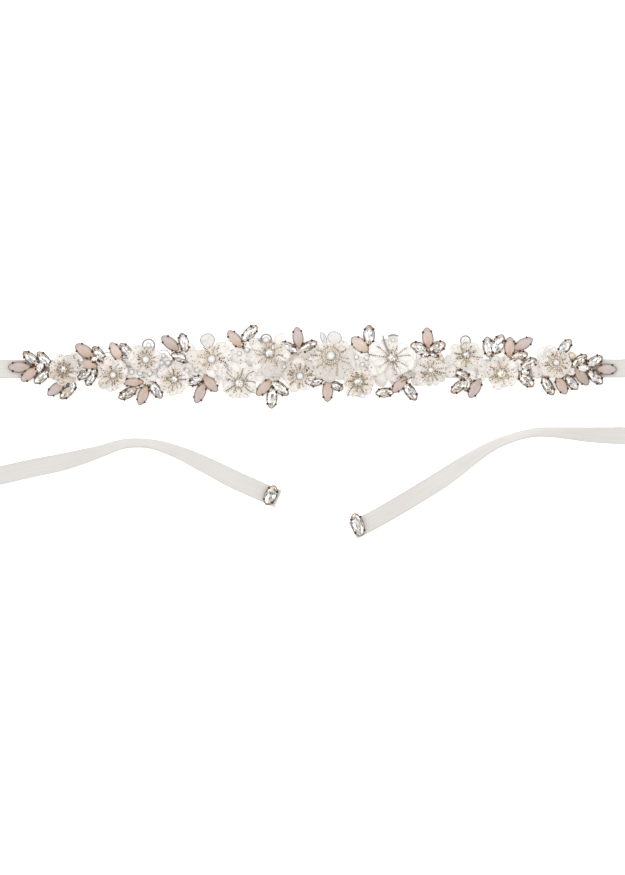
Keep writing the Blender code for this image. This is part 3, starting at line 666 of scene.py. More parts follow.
sprays = {
    "spray_left_end": {"joint": (-200.2, 1.4), "foot": (-197.0, 0.0), "stones": (
        # kind, x, y, turn of the outer tip, length, width
        ("mauve", -210.2, 1.4, 180, 15.8, 7.9), ("clear", -201.8, 7.7, 141, 14.7, 7.2),
        ("clear", -192.3, 6.5, 129, 14.9, 7.5), ("opal", -202.8, -3.7, 219, 15.5, 7.7),
        ("clear", -194.1, -5.7, 221, 14.0, 7.5), ("white", -195.2, 1.5, 250, 9.6, 6.4))},
    "spray_low_a": {"joint": (-176.1, -9.7), "foot": (-174.7, -5.4), "stones": (
        ("mauve", -183.8, -14.1, 219, 15.4, 7.7), ("smoke", -175.3, -15.9, 226, 15.5, 7.7),
        ("clear", -172.4, -11.4, 285, 9.5, 6.2))},
    "spray_top_a": {"joint": (-156.4, 5.7), "foot": (-156.4, 4.5), "stones": (
        ("opal", -163.4, 12.8, 144, 15.8, 8.8), ("opal", -161.3, 3.5, 163, 15.4, 7.4),
        ("clear", -153.0, 10.5, 127, 14.4, 7.5),
        ("white", -156.2, 7.2, 200, 7.6, 5.2))},
    "spray_low_b": {"joint": (-158.9, -3.0), "foot": (-157.5, -2.2), "stones": (
        ("clear", -164.3, -4.3, 197, 12.2, 6.5), ("clear", -158.8, -6.8, 238, 12.6, 6.5),
        ("clear", -156.6, -2.4, 70, 7.6, 5.0))},
    "spray_top_b": {"joint": (-137.8, 6.6), "foot": (-137.8, 4.8), "stones": (
        ("peach", -140.8, 12.2, 118, 15.6, 7.9), ("clear", -133.1, 12.9, 131, 14.4, 7.0))},
    "spray_low_c": {"joint": (-119.5, -12.2), "foot": (-120.3, -5.7), "stones": (
        ("opal", -128.5, -9.5, 181, 15.1, 6.9), ("smoke", -132.4, -17.4, 209, 15.1, 7.6),
        ("opal", -121.4, -18.7, 249, 15.4, 7.9), ("clear", -112.3, -14.9, 305, 15.1, 7.7))},
    "spray_top_c": {"joint": (-96.5, 11.8), "foot": (-94.4, 4.7), "stones": (
        ("mauve", -102.0, 18.4, 140, 15.8, 8.2), ("clear", -92.2, 18.9, 104, 14.7, 7.5),
        ("clear", -95.1, 8.4, 160, 13.6, 7.0))},
    "spray_low_d": {"joint": (-78.6, -7.5), "foot": (-79.3, -4.3), "stones": (
        ("clear", -83.8, -8.5, 205, 12.2, 6.9), ("opal", -73.2, -10.3, 310, 15.5, 7.9),
        ("mauve", -80.6, -17.2, 247, 15.6, 7.9))},
    "spray_top_d": {"joint": (-49.5, 16.1), "foot": (-49.5, 4.7), "stones": (
        ("opal", -55.5, 21.4, 129, 15.6, 7.9), ("clear", -45.1, 25.6, 47, 15.8, 7.9),
        ("pearl", -52.4, 11.0, 0, 4.0, 4.0), ("pearl", -46.9, 13.7, 0, 4.0, 4.0))},
    "spray_low_e": {"joint": (-28.7, -10.0), "foot": (-28.7, -5.0), "stones": (
        ("opal", -34.6, -13.3, 224, 15.6, 7.9), ("clear", -23.0, -13.9, 320, 15.1, 7.9),
        ("clear", -29.1, -20.8, 267, 15.4, 8.0))},
    "spray_top_e": {"joint": (-9.7, 11.9), "foot": (-9.3, 4.7), "stones": (
        ("mauve", -10.4, 22.5, 97, 15.5, 7.9), ("smoke", -2.9, 16.3, 27, 14.4, 7.2),
        ("clear", -17.2, 15.4, 152, 14.4, 7.5))},
    "spray_low_f": {"joint": (10.8, -8.3), "foot": (10.8, -4.7), "stones": (
        ("opal", 10.9, -15.8, 268, 15.8, 8.0), ("clear", 2.5, -9.3, 200, 10.8, 6.5),
        ("clear", 17.2, -12.2, 335, 10.8, 6.5))},
    "spray_top_f": {"joint": (39.8, 11.8), "foot": (43.4, 4.7), "stones": (
        ("peach", 33.9, 17.4, 140, 15.8, 9.3), ("clear", 40.5, 24.2, 90, 15.1, 8.6))},
    "spray_low_g": {"joint": (65.3, -9.0), "foot": (66.0, -5.0), "stones": (
        ("opal", 62.4, -11.1, 228, 15.1, 7.7), ("smoke", 51.7, -16.9, 185, 13.6, 7.2),
        ("clear", 70.0, -16.2, 305, 15.4, 7.9))},
    "spray_top_g": {"joint": (82.9, 12.6), "foot": (82.9, 4.9), "stones": (
        ("opal", 82.6, 22.2, 97, 15.6, 8.2), ("clear", 76.2, 15.1, 156, 13.3, 8.4),
        ("smoke", 89.5, 15.7, 25, 12.9, 8.4), ("clear", 81.0, 10.0, 215, 8.0, 5.6),
        ("clear", 87.0, 9.4, 320, 8.0, 5.6))},
    "spray_low_h": {"joint": (111.9, -8.3), "foot": (110.0, -6.5), "stones": (
        ("smoke", 104.8, -12.6, 218, 14.4, 7.5), ("mauve", 116.3, -13.8, 240, 15.8, 8.2),
        ("smoke", 107.9, -4.4, 150, 12.2, 6.7), ("smoke", 110.6, -10.6, 262, 11.4, 6.6))},
    "spray_top_h": {"joint": (128.8, 9.0), "foot": (127.4, 4.7), "stones": (
        ("clear", 125.9, 15.8, 97, 15.2, 8.0), ("clear", 133.0, 17.6, 66, 15.8, 9.0))},
    "spray_top_i": {"joint": (142.8, 8.6), "foot": (141.7, 4.8), "stones": (
        ("opal", 141.3, 15.4, 88, 15.4, 8.0), ("mauve", 151.0, 17.9, 30, 15.6, 7.9),
        ("smoke", 148.0, 9.4, 12, 13.3, 7.0))},
    "spray_right_i": {"joint": (149.2, -1.4), "foot": (147.8, -1.4), "stones": (
        ("smoke", 154.8, 3.2, 36, 14.0, 8.2), ("white", 152.2, -2.2, 350, 7.6, 5.6),
        ("smoke", 153.0, -7.6, 318, 14.8, 8.6))},
    "spray_top_j": {"joint": (181.0, 7.5), "foot": (180.4, 4.5), "stones": (
        ("clear", 180.8, 15.6, 51, 14.4, 7.7), ("champagne", 185.7, 9.7, 0, 5.6, 5.6))},
    "spray_low_j": {"joint": (172.6, -3.9), "foot": (172.6, -2.9), "stones": (
        ("smoke", 168.7, -12.2, 301, 15.4, 7.7), ("opal", 178.4, -11.7, 297, 14.7, 7.9))},
    "spray_right_end": {"joint": (199.6, -0.6), "foot": (194.0, 0.0), "stones": (
        ("mauve", 210.8, -0.2, 0, 14.4, 7.9), ("clear", 202.0, 5.5, 31, 13.8, 7.2),
        ("clear", 202.6, -6.0, 319, 14.2, 7.5), ("dusk", 192.9, -5.5, 308, 15.4, 8.0),
        ("smoke", 191.1, 5.7, 39, 14.2, 7.5), ("clear", 185.7, -9.7, 308, 13.3, 7.2),
        ("white", 194.0, 0.6, 185, 10.4, 6.6))},
}


bloom = {
    "root": 5.4, "rise": 0.7, "riseOver": 8.0, "droop": 0.05, "cup": 0.7, "ruffle": 0.24, "layer": 0.18,
    "fillerRoot": 2.6, "fillerRise": 0.5, "wall": 0.14, "roundFrom": 0.55, "rootWidth": 0.3, "grid": (6, 8),
    "beadSize": 1.05, "beadSpread": (0.85, 1.15), "beadGap": 1.5, "ringGap": 1.7, "swap": 0.15,
    "rimBead": 1.0, "rimGap": 1.2, "rimLift": 0.1, "seedBead": 0.85, "seedLift": 0.3, "topLift": 1.2,
    "paleWire": 0.15, "darkWire": 0.22, "bandWire": 0.62, "rimWire": {"hem": 0.16, "band": 0.22},
    "cupFoot": 0.6, "cupRadii": (1.6, 2.4), "gripCount": 6, "gripSize": 0.85,
    "archTurn": 115, "archSteps": 14, "spokeTurn": 6, "spokeReach": (-1.2, 0.8),
    "seedTints": ((0.95, 0.94, 0.92), (0.84, 0.74, 0.60), (0.66, 0.51, 0.37), (0.50, 0.37, 0.26),
                  (0.30, 0.21, 0.14), (0.30, 0.21, 0.14)),
    "rimTint": (0.94, 0.92, 0.90), "sandTint": (0.90, 0.82, 0.70),
}

looks = {
    # part of a piece: material, slot, smooth
    "petals": ("organza", "organza", True), "hem": ("hemCloth", "organza", True),
    "metal": ("antiqueRoseGold", "setting", True), "prongs": ("shadedProngAndJoint", "setting", True),
    "cups": ("paleGoldCup", "setting", True), "opal": ("opal", "opal", True),
    "crystal": ("crystal", "crystal", False), "pearl": ("pearl", "pearl", True),
    "dark": ("darkWire", "setting", True), "pale": ("paleWire", "setting", True),
    "band": ("bandWire", "setting", True), "gold": ("goldBead", "bead", True),
    "bronze": ("bronzeBead", "bead", True), "silver": ("silverBead", "bead", True),
    "seeds": ("seedBead", "bead", True), "thread": ("thread", "pearl", True),
}
pearlTints = {"pearl": (0.81, 0.80, 0.785), "rosePearl": (0.84, 0.74, 0.765),
              "bluePearl": (0.78, 0.80, 0.86), "champagne": (0.78, 0.62, 0.48)}


# Empty meshes for what a maker would sort by material
def newParts():
    parts = {name: bmesh.new() for name in looks}
    layers = {name: tintLayer(parts[name]) for name in ("opal", "petals")}
    layers["across"] = parts["petals"].verts.layers.float.new("across")
    layers["crystal"] = facetLayer(parts["crystal"])
    return parts, layers


# Turns each filled mesh into a piece; the first one stands for the solid
def placeParts(node, parts):
    stoodFor = (node,)
    for name, bm in parts.items():
        if not bm.verts:
            bm.free()
            continue
        material, slot, smooth = looks[name]
        if name == "petals":
            bmesh.ops.remove_doubles(bm, verts=bm.verts, dist=0.001)
        sharp = 80 if name == "petals" else 50
        mesh = finishMesh(bm, f"{node}_{name}", materials[material], smooth, sharp)
        piece = addPiece(f"{node}_{name}", mesh, stoodFor)
        stoodFor = ()
        if name == "petals":
            wall = piece.modifiers.new("wall", "SOLIDIFY")
            wall.thickness = bloom["wall"] * mm
            wall.offset = 0.0


# Pearls carry painted shade: the last value is the share of colour kept at and below the middle
def addPearl(parts, kind, place, size, shadedShare=0.3):
    setBead(parts["pearl"], pearlPattern, place, size, pearlTints[kind], shadedShare)


def addBead(parts, kind, place, size):
    if kind == "sand":
        setBead(parts["seeds"], seedPattern, place, size, bloom["sandTint"])
    else:
        setBead(parts[kind], seedPattern, place, size)


def addStone(parts, layers, kind, x, y, turn, length, width, base):
    made = {"metal": addSetting(parts["metal"], length, width, base),
            "prongs": addProngs(parts["prongs"], length, width, base)}
    if kind in ("clear", "white", "smoke"):
        made["crystal"] = addGem(parts["crystal"], layers["crystal"], length, width, base, stone[kind])
    else:
        made["opal"] = addOpal(parts["opal"], layers["opal"], kind, length, width, base)
    for name, verts in made.items():
        moveVerts(parts[name], verts, (x, y, 0), turn)


def makeSpray(node, spray):
    parts, layers = newParts()
    joint = Vector((*spray["joint"], stone["seat"] + stone["jointLift"]))
    stems = []
    for i, (kind, x, y, turn, length, width) in enumerate(spray["stones"]):
        base = stone["seat"] + stone["lift"] + stone["step"] * i
        if kind in pearlTints:
            addPearl(parts, kind, (x, y, base + length / 2), length)
            stems.append([joint, Vector((x, y, joint.z))])
            continue
        addStone(parts, layers, kind, x, y, turn, length, width, base)
        inward = length / 2 - stone["stemInset"]
        near = Vector((x - inward * cos(radians(turn)), y - inward * sin(radians(turn)), joint.z))
        stems.append([joint, near])
    foot = Vector((*spray["foot"], stone["ribbonTop"] + stone["stemRadius"]))
    stems.append([joint, joint.lerp(foot, 0.5) + Vector((0, 0, stone["stemBow"])), foot])
    addTubes(parts["metal"], stems, stone["stemRadius"], 2)
    setBead(parts["prongs"], seedPattern, joint, stone["jointSize"])
    for i in range(stone["jointBeads"]):
        reach = stone["beadReach"]
        spot = joint + Vector((random.uniform(-reach, reach), random.uniform(-reach, reach),
                               random.uniform(*stone["beadRise"])))
        kind = random.choice(("bronze", "gold", "sand", "silver"))
        addBead(parts, kind, spot, random.uniform(*stone["beadSize"]))
    placeParts(node, parts)


seedPattern = beadPattern("seed", 6, 4)
pearlPattern = beadPattern("pearlRound", 16, 10)

for sprayName, sprayRow in sprays.items():
    makeSpray(sprayName, sprayRow)

tips = {
    # x, y, turn, length, width
    "tip_stone_left": (-30.0, -90.5, 66, 15.4, 9.0),
    "tip_stone_right": (32.4, -111.7, 108, 17.4, 9.3),
}
for tipName, tipRow in tips.items():
    tipParts, tipLayers = newParts()
    addStone(tipParts, tipLayers, "clear", *tipRow, stone["seat"])
    placeParts(tipName, tipParts)
print("stones set")


# Threaded pearls

pearls = {
    "diameter": 4.2, "height": 3.6, "threadRadius": 0.25,
    "groups": {
        "pearls_left": ((-135.0, 2.5), (-129.6, -2.2), (-123.6, -3.0), (-116.6, -3.1), (-109.8, -3.2)),
        "pearls_upper": ((-107.0, 9.7), (-108.3, 4.3), (-103.6, 4.3)),
        "pearls_lower": ((-90.1, -1.3), (-82.5, -0.6)),
        "pearls_right": ((31.4, 8.6), (35.7, 2.9), (38.8, 8.1)),
    },
}
for pearlNode, group in pearls["groups"].items():
    pearlParts, _ = newParts()
    spots = [Vector((*spot, pearls["height"])) for spot in group]
    for spot in spots:
        addPearl(pearlParts, "pearl", spot, pearls["diameter"])
    addTubes(pearlParts["thread"], [spots], pearls["threadRadius"])
    placeParts(pearlNode, pearlParts)
print("pearls threaded")


# Flowers

petalKinds = {
    # kind: inner colour, outer colour, opacity, rim, seed beads on it
    "cream": ((0.89, 0.815, 0.71), (0.90, 0.845, 0.775), 0.98, "beads", 13),
    "blush": ((0.90, 0.825, 0.75), (0.90, 0.84, 0.79), 0.98, "beads", 10),
    "white": ((0.93, 0.885, 0.83), (0.94, 0.915, 0.89), 0.98, "beads", 7),
    "sheer": ((0.89, 0.85, 0.785), (0.88, 0.865, 0.84), 0.74, "hem", 5),
    "glass": ((0.66, 0.665, 0.65), (0.69, 0.70, 0.695), 0.58, "band", 0),
    "wing": ((0.86, 0.83, 0.80), (0.87, 0.85, 0.84), 0.60, "hem", 0),
    "lime": ((0.84, 0.79, 0.65), (0.85, 0.83, 0.75), 0.72, "hem", 3),
    "organza": ((0.93, 0.89, 0.84), (0.94, 0.92, 0.895), 0.95, "hem", 3),
    "milk": ((0.97, 0.94, 0.915), (0.97, 0.955, 0.94), 1.0, "hem", 0),
    "grey": ((0.735, 0.69, 0.64), (0.73, 0.70, 0.665), 0.92, "hem", 4),
    "taupe": ((0.72, 0.65, 0.59), (0.75, 0.695, 0.645), 0.92, "hem", 7),
    "tan": ((0.64, 0.54, 0.45), (0.70, 0.61, 0.53), 0.92, "beads", 12),
    "rose": ((0.84, 0.775, 0.735), (0.85, 0.81, 0.79), 0.90, "hem", 3),
}
flowers = {
    # petals: kind, turn, start, reach, width; fillers: kind, x, y, turn, reach, width
    # rings: kind, radius; spokes: kind, count, turn, start, end; lines: kind, turn, start, end
    # strands: kind, x, y, to x, to y, bow; arches: turn, distance, radius, pearl kind, pearl size
    # pearls: kind, x, y, size
    "flower_01": {
        "place": (-178.2, -0.2), "centre": ("gem", 5.0), "rings": (("gold", 4.2),),
        "petals": (("white", 107, 2, 11.5, 8), ("grey", 63, 2, 11.4, 7.5), ("grey", 28, 2, 11.5, 7),
            ("blush", 160, 2, 10.2, 8), ("tan", 212, 2, 11.4, 8.5), ("tan", 262, 2, 11.4, 9),
            ("tan", 312, 2, 12.4, 8), ("sheer", 343, 2, 11.5, 7)),
        "fillers": (("white", -170, 3, 20, 6, 7), ("organza", -170, -2, -5, 6, 6),
            ("white", -172, 6, 70, 6, 6), ("milk", -166, -0.4, 0, 9, 5)),
        "spokes": (("gold", 10, 10, 4.8, 7.2), ("bronze", 5, 40, 4.6, 6.2)),
        "strands": (("silver", -172.5, -1.8, -160.5, -2.6, 0.0),), "pearls": (("pearl", -165.2, 6.3, 3.2),)},
    "flower_02": {
        "place": (-142.7, -4.4), "centre": ("pearl", 4.4), "rings": (("gold", 3.4), ("sand", 4.4)),
        "petals": (("blush", 150, 2, 11.5, 8), ("blush", 106, 3, 14.4, 8), ("white", 62, 2, 12.0, 8),
            ("white", 24, 2, 11.0, 7.5), ("cream", 330, 2, 9.5, 7.5), ("sheer", 292, 2, 11.0, 8),
            ("sheer", 258, 2, 12.3, 10), ("grey", 222, 2, 13.4, 8.5), ("blush", 188, 2, 11.0, 8)),
        "fillers": (("white", -136, -4, 0, 11, 9), ("white", -134, 5, 20, 9, 8),
            ("organza", -150, 1, 180, 4, 6), ("white", -149, 5, 140, 6, 8)),
        "spokes": (("gold", 9, 30, 4.8, 8.0), ("bronze", 4, 10, 5.0, 7.0)),
        "strands": (("dark", -150, 10.4, -144.5, 11.2, 0.8),)},
    "flower_03": {
        "place": (-119.2, 6.7), "centre": ("pearl", 5.2), "rings": (("sand", 3.8),),
        "petals": (("white", 132, 2, 13.0, 8.5), ("white", 170, 2, 13.2, 8.5), ("cream", 232, 2, 9.6, 8),
            ("cream", 284, 2, 9.4, 8), ("blush", 335, 2, 10.2, 8), ("white", 22, 2, 11.5, 8),
            ("cream", 62, 2, 10.4, 7.5), ("cream", 98, 2, 9.4, 7.5), ("sheer", 200, 2, 11.5, 8)),
        "fillers": (("white", -131, -2, 0, 11, 9), ("white", -121, -3, -10, 11, 9),
            ("white", -121.5, -8.5, 0, 6, 5), ("organza", -111, 3, 30, 10, 9),
            ("white", -112, -2, 10, 9, 8)),
        "spokes": (("bronze", 14, 5, 4.4, 6.6), ("sand", 12, 17, 4.6, 8.2)),
        "strands": (("dark", -109, 13, -101.5, 9.2, 2.2),), "arches": ((79, 10.4, 4.3, "pearl", 4.4),)},
    "flower_04": {
        "place": (-99.1, -7.4), "centre": ("gem", 5.2), "rings": (("sand", 3.8),),
        "petals": (("white", 150, 2, 12.5, 8.5), ("cream", 182, 2, 10.5, 8), ("sheer", 258, 2, 12.4, 9),
            ("sheer", 295, 2, 11.8, 8), ("blush", 218, 2, 11.6, 8.5), ("cream", 92, 2, 10.2, 7.5),
            ("white", 332, 2, 11.5, 8.5), ("cream", 52, 2, 9.4, 7.5), ("white", 12, 2, 11.0, 8)),
        "fillers": (("white", -93, -1, 10, 9, 9), ("white", -90, -8, 0, 5, 7),
            ("organza", -106, -1, 110, 7, 8), ("white", -101, 1, 20, 10, 8), ("white", -84, -3, 0, 8, 6)),
        "lines": (("gold", 171, 3.8, 8.6), ("bronze", 178, 3.8, 6.4), ("gold", 192, 4.4, 7.8),
            ("bronze", 90, 3.8, 7.2), ("bronze", 123, 4.4, 8.4), ("gold", 51, 3.4, 6.8),
            ("bronze", 0, 3.6, 8.2), ("gold", 327, 3.8, 7.6), ("gold", 262, 3.6, 8.4),
            ("gold", 290, 3.6, 7.4), ("gold", 240, 3.8, 7.0), ("bronze", 30, 3.8, 5.6))},
    "flower_05": {
        "place": (-72.2, 7.0), "centre": ("pearl", 5.6), "rings": (("sand", 4.0),),
        "petals": (("blush", 172, 2, 18.6, 10), ("cream", 98, 2, 10.2, 8.5), ("cream", 200, 2, 13.5, 8.5),
            ("cream", 148, 2, 11.0, 7), ("white", 22, 2, 15.0, 10), ("organza", 52, 3, 15.2, 9),
            ("white", 345, 2, 14.0, 9), ("white", 312, 2, 14.5, 10), ("white", 272, 2, 13.0, 8),
            ("blush", 236, 2, 11.0, 8), ("glass", 102, 8, 18.8, 10.4)),
        "fillers": (("white", -64, 1, 0, 10, 10), ("white", -89, 0, 0, 9, 9), ("sheer", -62, 9, 20, 10, 7),
            ("milk", -64, 12, 60, 11, 6), ("organza", -84, 12, 150, 9, 8), ("white", -70, -4, 260, 8, 9)),
        "lines": (("gold", 75, 4.6, 9.5), ("bronze", 62, 8.0, 11.0), ("gold", 125, 4.6, 9.0),
            ("gold", 31, 5.0, 8.6), ("gold", 170, 5.0, 10.0), ("gold", 250, 4.8, 8.2),
            ("bronze", 5, 6.0, 9.0), ("gold", 218, 4.8, 7.8)),
        "strands": (("bronze", -66.5, 6.6, -59.8, 1.2, 0.8), ("gold", -78, 15.5, -74, 11, 0.5),
            ("pale", -80, 20, -73, 24.6, -2.2))},
    "flower_06": {
        "place": (-30.9, 11.7), "centre": ("gem", 6.4), "rings": (("sand", 5.6),),
        "spokes": (("gold", 8, 20, 4.2, 6.8),),
        "petals": (("organza", 200, 3, 15.0, 10), ("white", 230, 3, 17.0, 8.5), ("grey", 262, 3, 18.6, 9.5),
            ("grey", 290, 3, 17.6, 10), ("grey", 320, 3, 17.4, 9.5), ("organza", 350, 3, 15.0, 9),
            ("cream", 20, 3, 12.6, 8), ("wing", 55, 6, 17.2, 6), ("organza", 165, 3, 13.5, 9),
            ("organza", 132, 3, 13.0, 8), ("cream", 92, 3, 9.4, 7)),
        "fillers": (("organza", -37, -2.4, 275, 6.2, 9), ("grey", -27, -2.4, 282, 6.2, 9),
            ("white", -24, -3, 0, 10, 11), ("taupe", -20, 3, 80, 10, 8), ("taupe", -13, 5, 90, 8, 8),
            ("white", -32, -6, 265, 6, 9), ("organza", -42, 10, 170, 7, 9), ("white", -40, 16, 120, 7, 8)),
        "lines": (("gold", 172, 6.0, 10.6), ("gold", 186, 6.0, 9.5), ("gold", 222, 6.0, 10.6),
            ("bronze", 60, 6.2, 8.2), ("bronze", 345, 6.4, 10.0), ("gold", 300, 6.4, 11.0),
            ("gold", 28, 6.0, 9.6), ("gold", 250, 6.2, 9.0), ("silver", 328, 8.0, 14.0)),
        "pearls": (("pearl", -20.2, 1.4, 2.6),), "arches": ((104, 9.4, 3.9, "rosePearl", 5.2),)},
    "flower_07": {
        "place": (-52.4, -10.0), "centre": ("gem", 6.4), "rings": (("sand", 4.4),),
        "petals": (("white", 142, 3, 15.0, 10), ("white", 176, 3, 13.0, 9), ("organza", 112, 3, 16.0, 9),
            ("organza", 78, 3, 15.5, 9), ("white", 44, 3, 14.5, 9), ("organza", 8, 3, 12.8, 8.5),
            ("organza", 338, 3, 13.0, 8), ("sheer", 302, 3, 12.4, 8), ("sheer", 268, 3, 11.5, 7.5),
            ("sheer", 236, 3, 12.4, 8), ("white", 207, 3, 13.0, 9)),
        "fillers": (("organza", -52, 2, 95, 13, 11), ("organza", -46, 3, 60, 11, 9),
            ("organza", -58, 4, 125, 9, 9), ("white", -44, -1, 10, 9, 10), ("white", -60, -4, 175, 8, 10)),
        "lines": (("bronze", 76, 4.4, 10.4), ("bronze", 96, 4.2, 7.4), ("silver", 130, 9.0, 16.5),
            ("bronze", 165, 5.0, 10.5), ("silver", 142, 5.5, 12.5), ("bronze", 212, 5.0, 11.0),
            ("bronze", 240, 4.8, 8.0), ("bronze", 285, 4.6, 7.0), ("bronze", 20, 4.6, 6.8)),
        "strands": (("dark", -47.6, -9.0, -41.0, -9.6, 0.4), ("dark", -48.2, -7.4, -41.5, -1.6, 1.2),
            ("dark", -48.0, -13.0, -40.8, -17.4, -0.8), ("gold", -47.8, -11.2, -44.4, -13.2, 0.0))},
    "flower_08": {
        "place": (-9.0, -5.1), "centre": ("pearl", 5.0), "rings": (("sand", 3.8), ("sand", 4.9)),
        "petals": (("cream", 168, 2, 11.4, 9), ("taupe", 132, 2, 13.0, 9), ("rose", 98, 2, 13.5, 9),
            ("taupe", 58, 2, 12.5, 9), ("cream", 12, 2, 11.0, 8.5), ("white", 330, 2, 9.4, 7),
            ("white", 206, 2, 11.0, 8.5), ("lime", 243, 2, 13.0, 8.5), ("wing", 284, 2, 11.4, 5),
            ("wing", 302, 2, 12.0, 5)),
        "fillers": (("taupe", -18, 0, 150, 8, 9), ("taupe", -8, 5, 70, 10, 10)),
        "spokes": (("gold", 13, 8, 5.2, 9.4), ("bronze", 8, 42, 5.6, 9.6))},
    "flower_09": {
        "place": (13.0, 9.3), "centre": ("pearl", 6.0),
        "rings": (("sand", 4.2), ("sand", 5.4), ("gold", 6.6), ("sand", 7.4)),
        "petals": (("glass", 78, 8, 17.9, 10.2), ("glass", 112, 8, 18.6, 4), ("sheer", 38, 3, 15.5, 10),
            ("rose", 5, 3, 17.0, 12), ("rose", 332, 3, 15.5, 10), ("grey", 298, 3, 19.5, 10),
            ("grey", 268, 3, 19.0, 11), ("grey", 238, 3, 18.5, 10), ("lime", 207, 3, 14.5, 9),
            ("grey", 175, 3, 15.0, 10), ("sheer", 145, 3, 12.5, 9), ("cream", 112, 3, 9.4, 8),
            ("cream", 62, 3, 9.4, 8)),
        "fillers": (("white", 22, 3, 0, 9, 12), ("grey", 4, -2, 215, 8, 10), ("white", 24, 12, 20, 8, 8)),
        "lines": (("silver", 337, 8.0, 15.0), ("silver", 352, 8.0, 13.0), ("bronze", 176, 8.0, 14.5),
            ("gold", 240, 5.2, 10.0), ("gold", 222, 8.5, 13.5), ("bronze", 20, 8.0, 11.0),
            ("silver", 155, 8.0, 11.0)),
        "strands": (("gold", 17.6, 3.0, 17.4, -4.8, 0.0), ("pale", 8.6, 19, 8.4, 26.5, 0.6),
            ("pale", 19.5, 17.5, 26.2, 13.4, 0.4), ("gold", 14.6, 16.2, 15.6, 16.2, 0.0),
            ("gold", 19.2, 15.8, 20.2, 15.8, 0.0))},
    "flower_10": {
        "place": (56.8, 7.9), "centre": ("gem", 6.2), "rings": (("sand", 4.3),),
        "petals": (("milk", 150, 3, 18.0, 10.5), ("milk", 183, 3, 16.5, 10), ("organza", 213, 3, 19.5, 10.5),
            ("rose", 247, 3, 19.5, 10.5), ("rose", 277, 3, 17.0, 10), ("milk", 312, 3, 15.0, 10),
            ("milk", 343, 3, 17.5, 11), ("milk", 14, 3, 17.0, 10), ("milk", 42, 3, 14.5, 9),
            ("milk", 116, 3, 15.0, 9), ("sheer", 87, 4, 16.5, 8)),
        "fillers": (("rose", 45, -2, 215, 8, 9), ("white", 70, 2, 0, 8, 10), ("white", 41, 4, 180, 7, 9),
            ("grey", 46, -3, -60, 11, 9), ("grey", 60, -4, -100, 8, 8)),
        "lines": (("bronze", 142, 4.6, 14.5), ("bronze", 172, 4.6, 16.0), ("silver", 330, 4.6, 13.5),
            ("silver", 8, 4.2, 13.2), ("silver", 33, 4.6, 13.0), ("bronze", 65, 4.6, 9.5),
            ("gold", 285, 4.6, 9.4), ("bronze", 300, 4.4, 7.4), ("bronze", 88, 4.2, 6.5),
            ("bronze", 110, 4.4, 5.6), ("bronze", 215, 4.4, 6.4)),
        "strands": (("band", 54.6, 12.0, 50.4, 24.0, 0.7), ("pale", 54.2, 3.4, 52.2, -8.0, -1.0),
            ("pale", 52.6, 5.0, 45.8, 1.0, 0.9), ("pale", 40.6, 9.2, 48.0, -5.6, 0.3),
            ("band", 54.0, 23.4, 61.6, 23.2, 1.2), ("pale", 54.8, 19.6, 54.0, 23.4, 0.0),
            ("pale", 60.4, 19.6, 61.4, 23.2, 0.0), ("silver", 57.0, 0.6, 60.4, -4.4, 1.2)),
        "pearls": (("pearl", 57.6, 20.6, 2.8),)},
    "flower_11": {
        "place": (32.7, -9.2), "centre": ("gem", 6.0), "rings": (("gold", 4.4),),
        "petals": (("wing", 232, 3, 12.8, 6), ("sheer", 252, 3, 12.0, 6), ("lime", 276, 3, 11.4, 7.5),
            ("blush", 318, 3, 12.5, 8), ("cream", 352, 3, 11.6, 8.5), ("cream", 30, 3, 11.0, 8),
            ("cream", 68, 3, 10.8, 8), ("cream", 105, 3, 10.4, 8), ("cream", 145, 3, 10.8, 8.5),
            ("cream", 188, 3, 10.6, 8)),
        "fillers": (("organza", 29, 3, 20, 9, 10), ("organza", 38, 1, 60, 9, 9), ("white", 42, -4, 0, 8, 9),
            ("white", 35, 1, 0, 11, 8)), "spokes": (("bronze", 9, 20, 5.2, 7.8), ("sand", 9, 0, 5.2, 9.0)),
        "strands": (("dark", 29.6, -12.4, 25.2, -20.0, -0.9), ("pale", 31.2, -13.6, 28.0, -19.0, 0.9)),
        "pearls": (("bluePearl", 35.8, -19.2, 4.4),)},
    "flower_12": {
        "place": (84.7, -0.9), "centre": ("pearl", 3.8), "rings": (("sand", 2.9),),
        "petals": (("sheer", 236, 2, 13.5, 6.5), ("blush", 216, 2, 13.0, 8), ("grey", 262, 2, 12.0, 6),
            ("rose", 292, 2, 12.2, 6), ("grey", 322, 2, 12.6, 6.5), ("blush", 175, 2, 10.8, 7.5),
            ("cream", 205, 2, 10.0, 7), ("cream", 92, 2, 9.6, 7), ("cream", 132, 2, 10.6, 7),
            ("white", 4, 2, 13.0, 8), ("cream", 48, 2, 10.0, 7)),
        "fillers": (("white", 75, 3, 10, 9, 9), ("white", 94, -1, 0, 9, 9), ("organza", 94, 5, 20, 8, 8),
            ("white", 80, 5, 120, 8, 8), ("blush", 88, 5, 70, 8, 8), ("rose", 70, -5, 200, 9, 8),
            ("rose", 77, -5, 235, 8, 8), ("milk", 83, 7, 90, 7, 9)),
        "lines": (("gold", 10, 3.4, 12.8), ("bronze", 348, 3.4, 12.0), ("bronze", 155, 4.0, 9.5),
            ("bronze", 222, 3.4, 8.4), ("gold", 250, 3.4, 8.4), ("gold", 278, 3.4, 8.0),
            ("gold", 305, 3.4, 9.0), ("gold", 75, 3.4, 7.4), ("gold", 110, 3.4, 7.4),
            ("gold", 335, 3.4, 8.0), ("gold", 200, 3.4, 6.4)),
        "strands": (("bronze", 78.0, -2.4, 80.4, -6.0, 0.8), ("bronze", 60.5, -6.6, 71.0, -1.6, 0.6),
            ("bronze", 64.0, -9.0, 73.0, -6.0, 0.4)), "pearls": (("champagne", 92.4, 7.4, 3.6),)},
    "flower_13": {
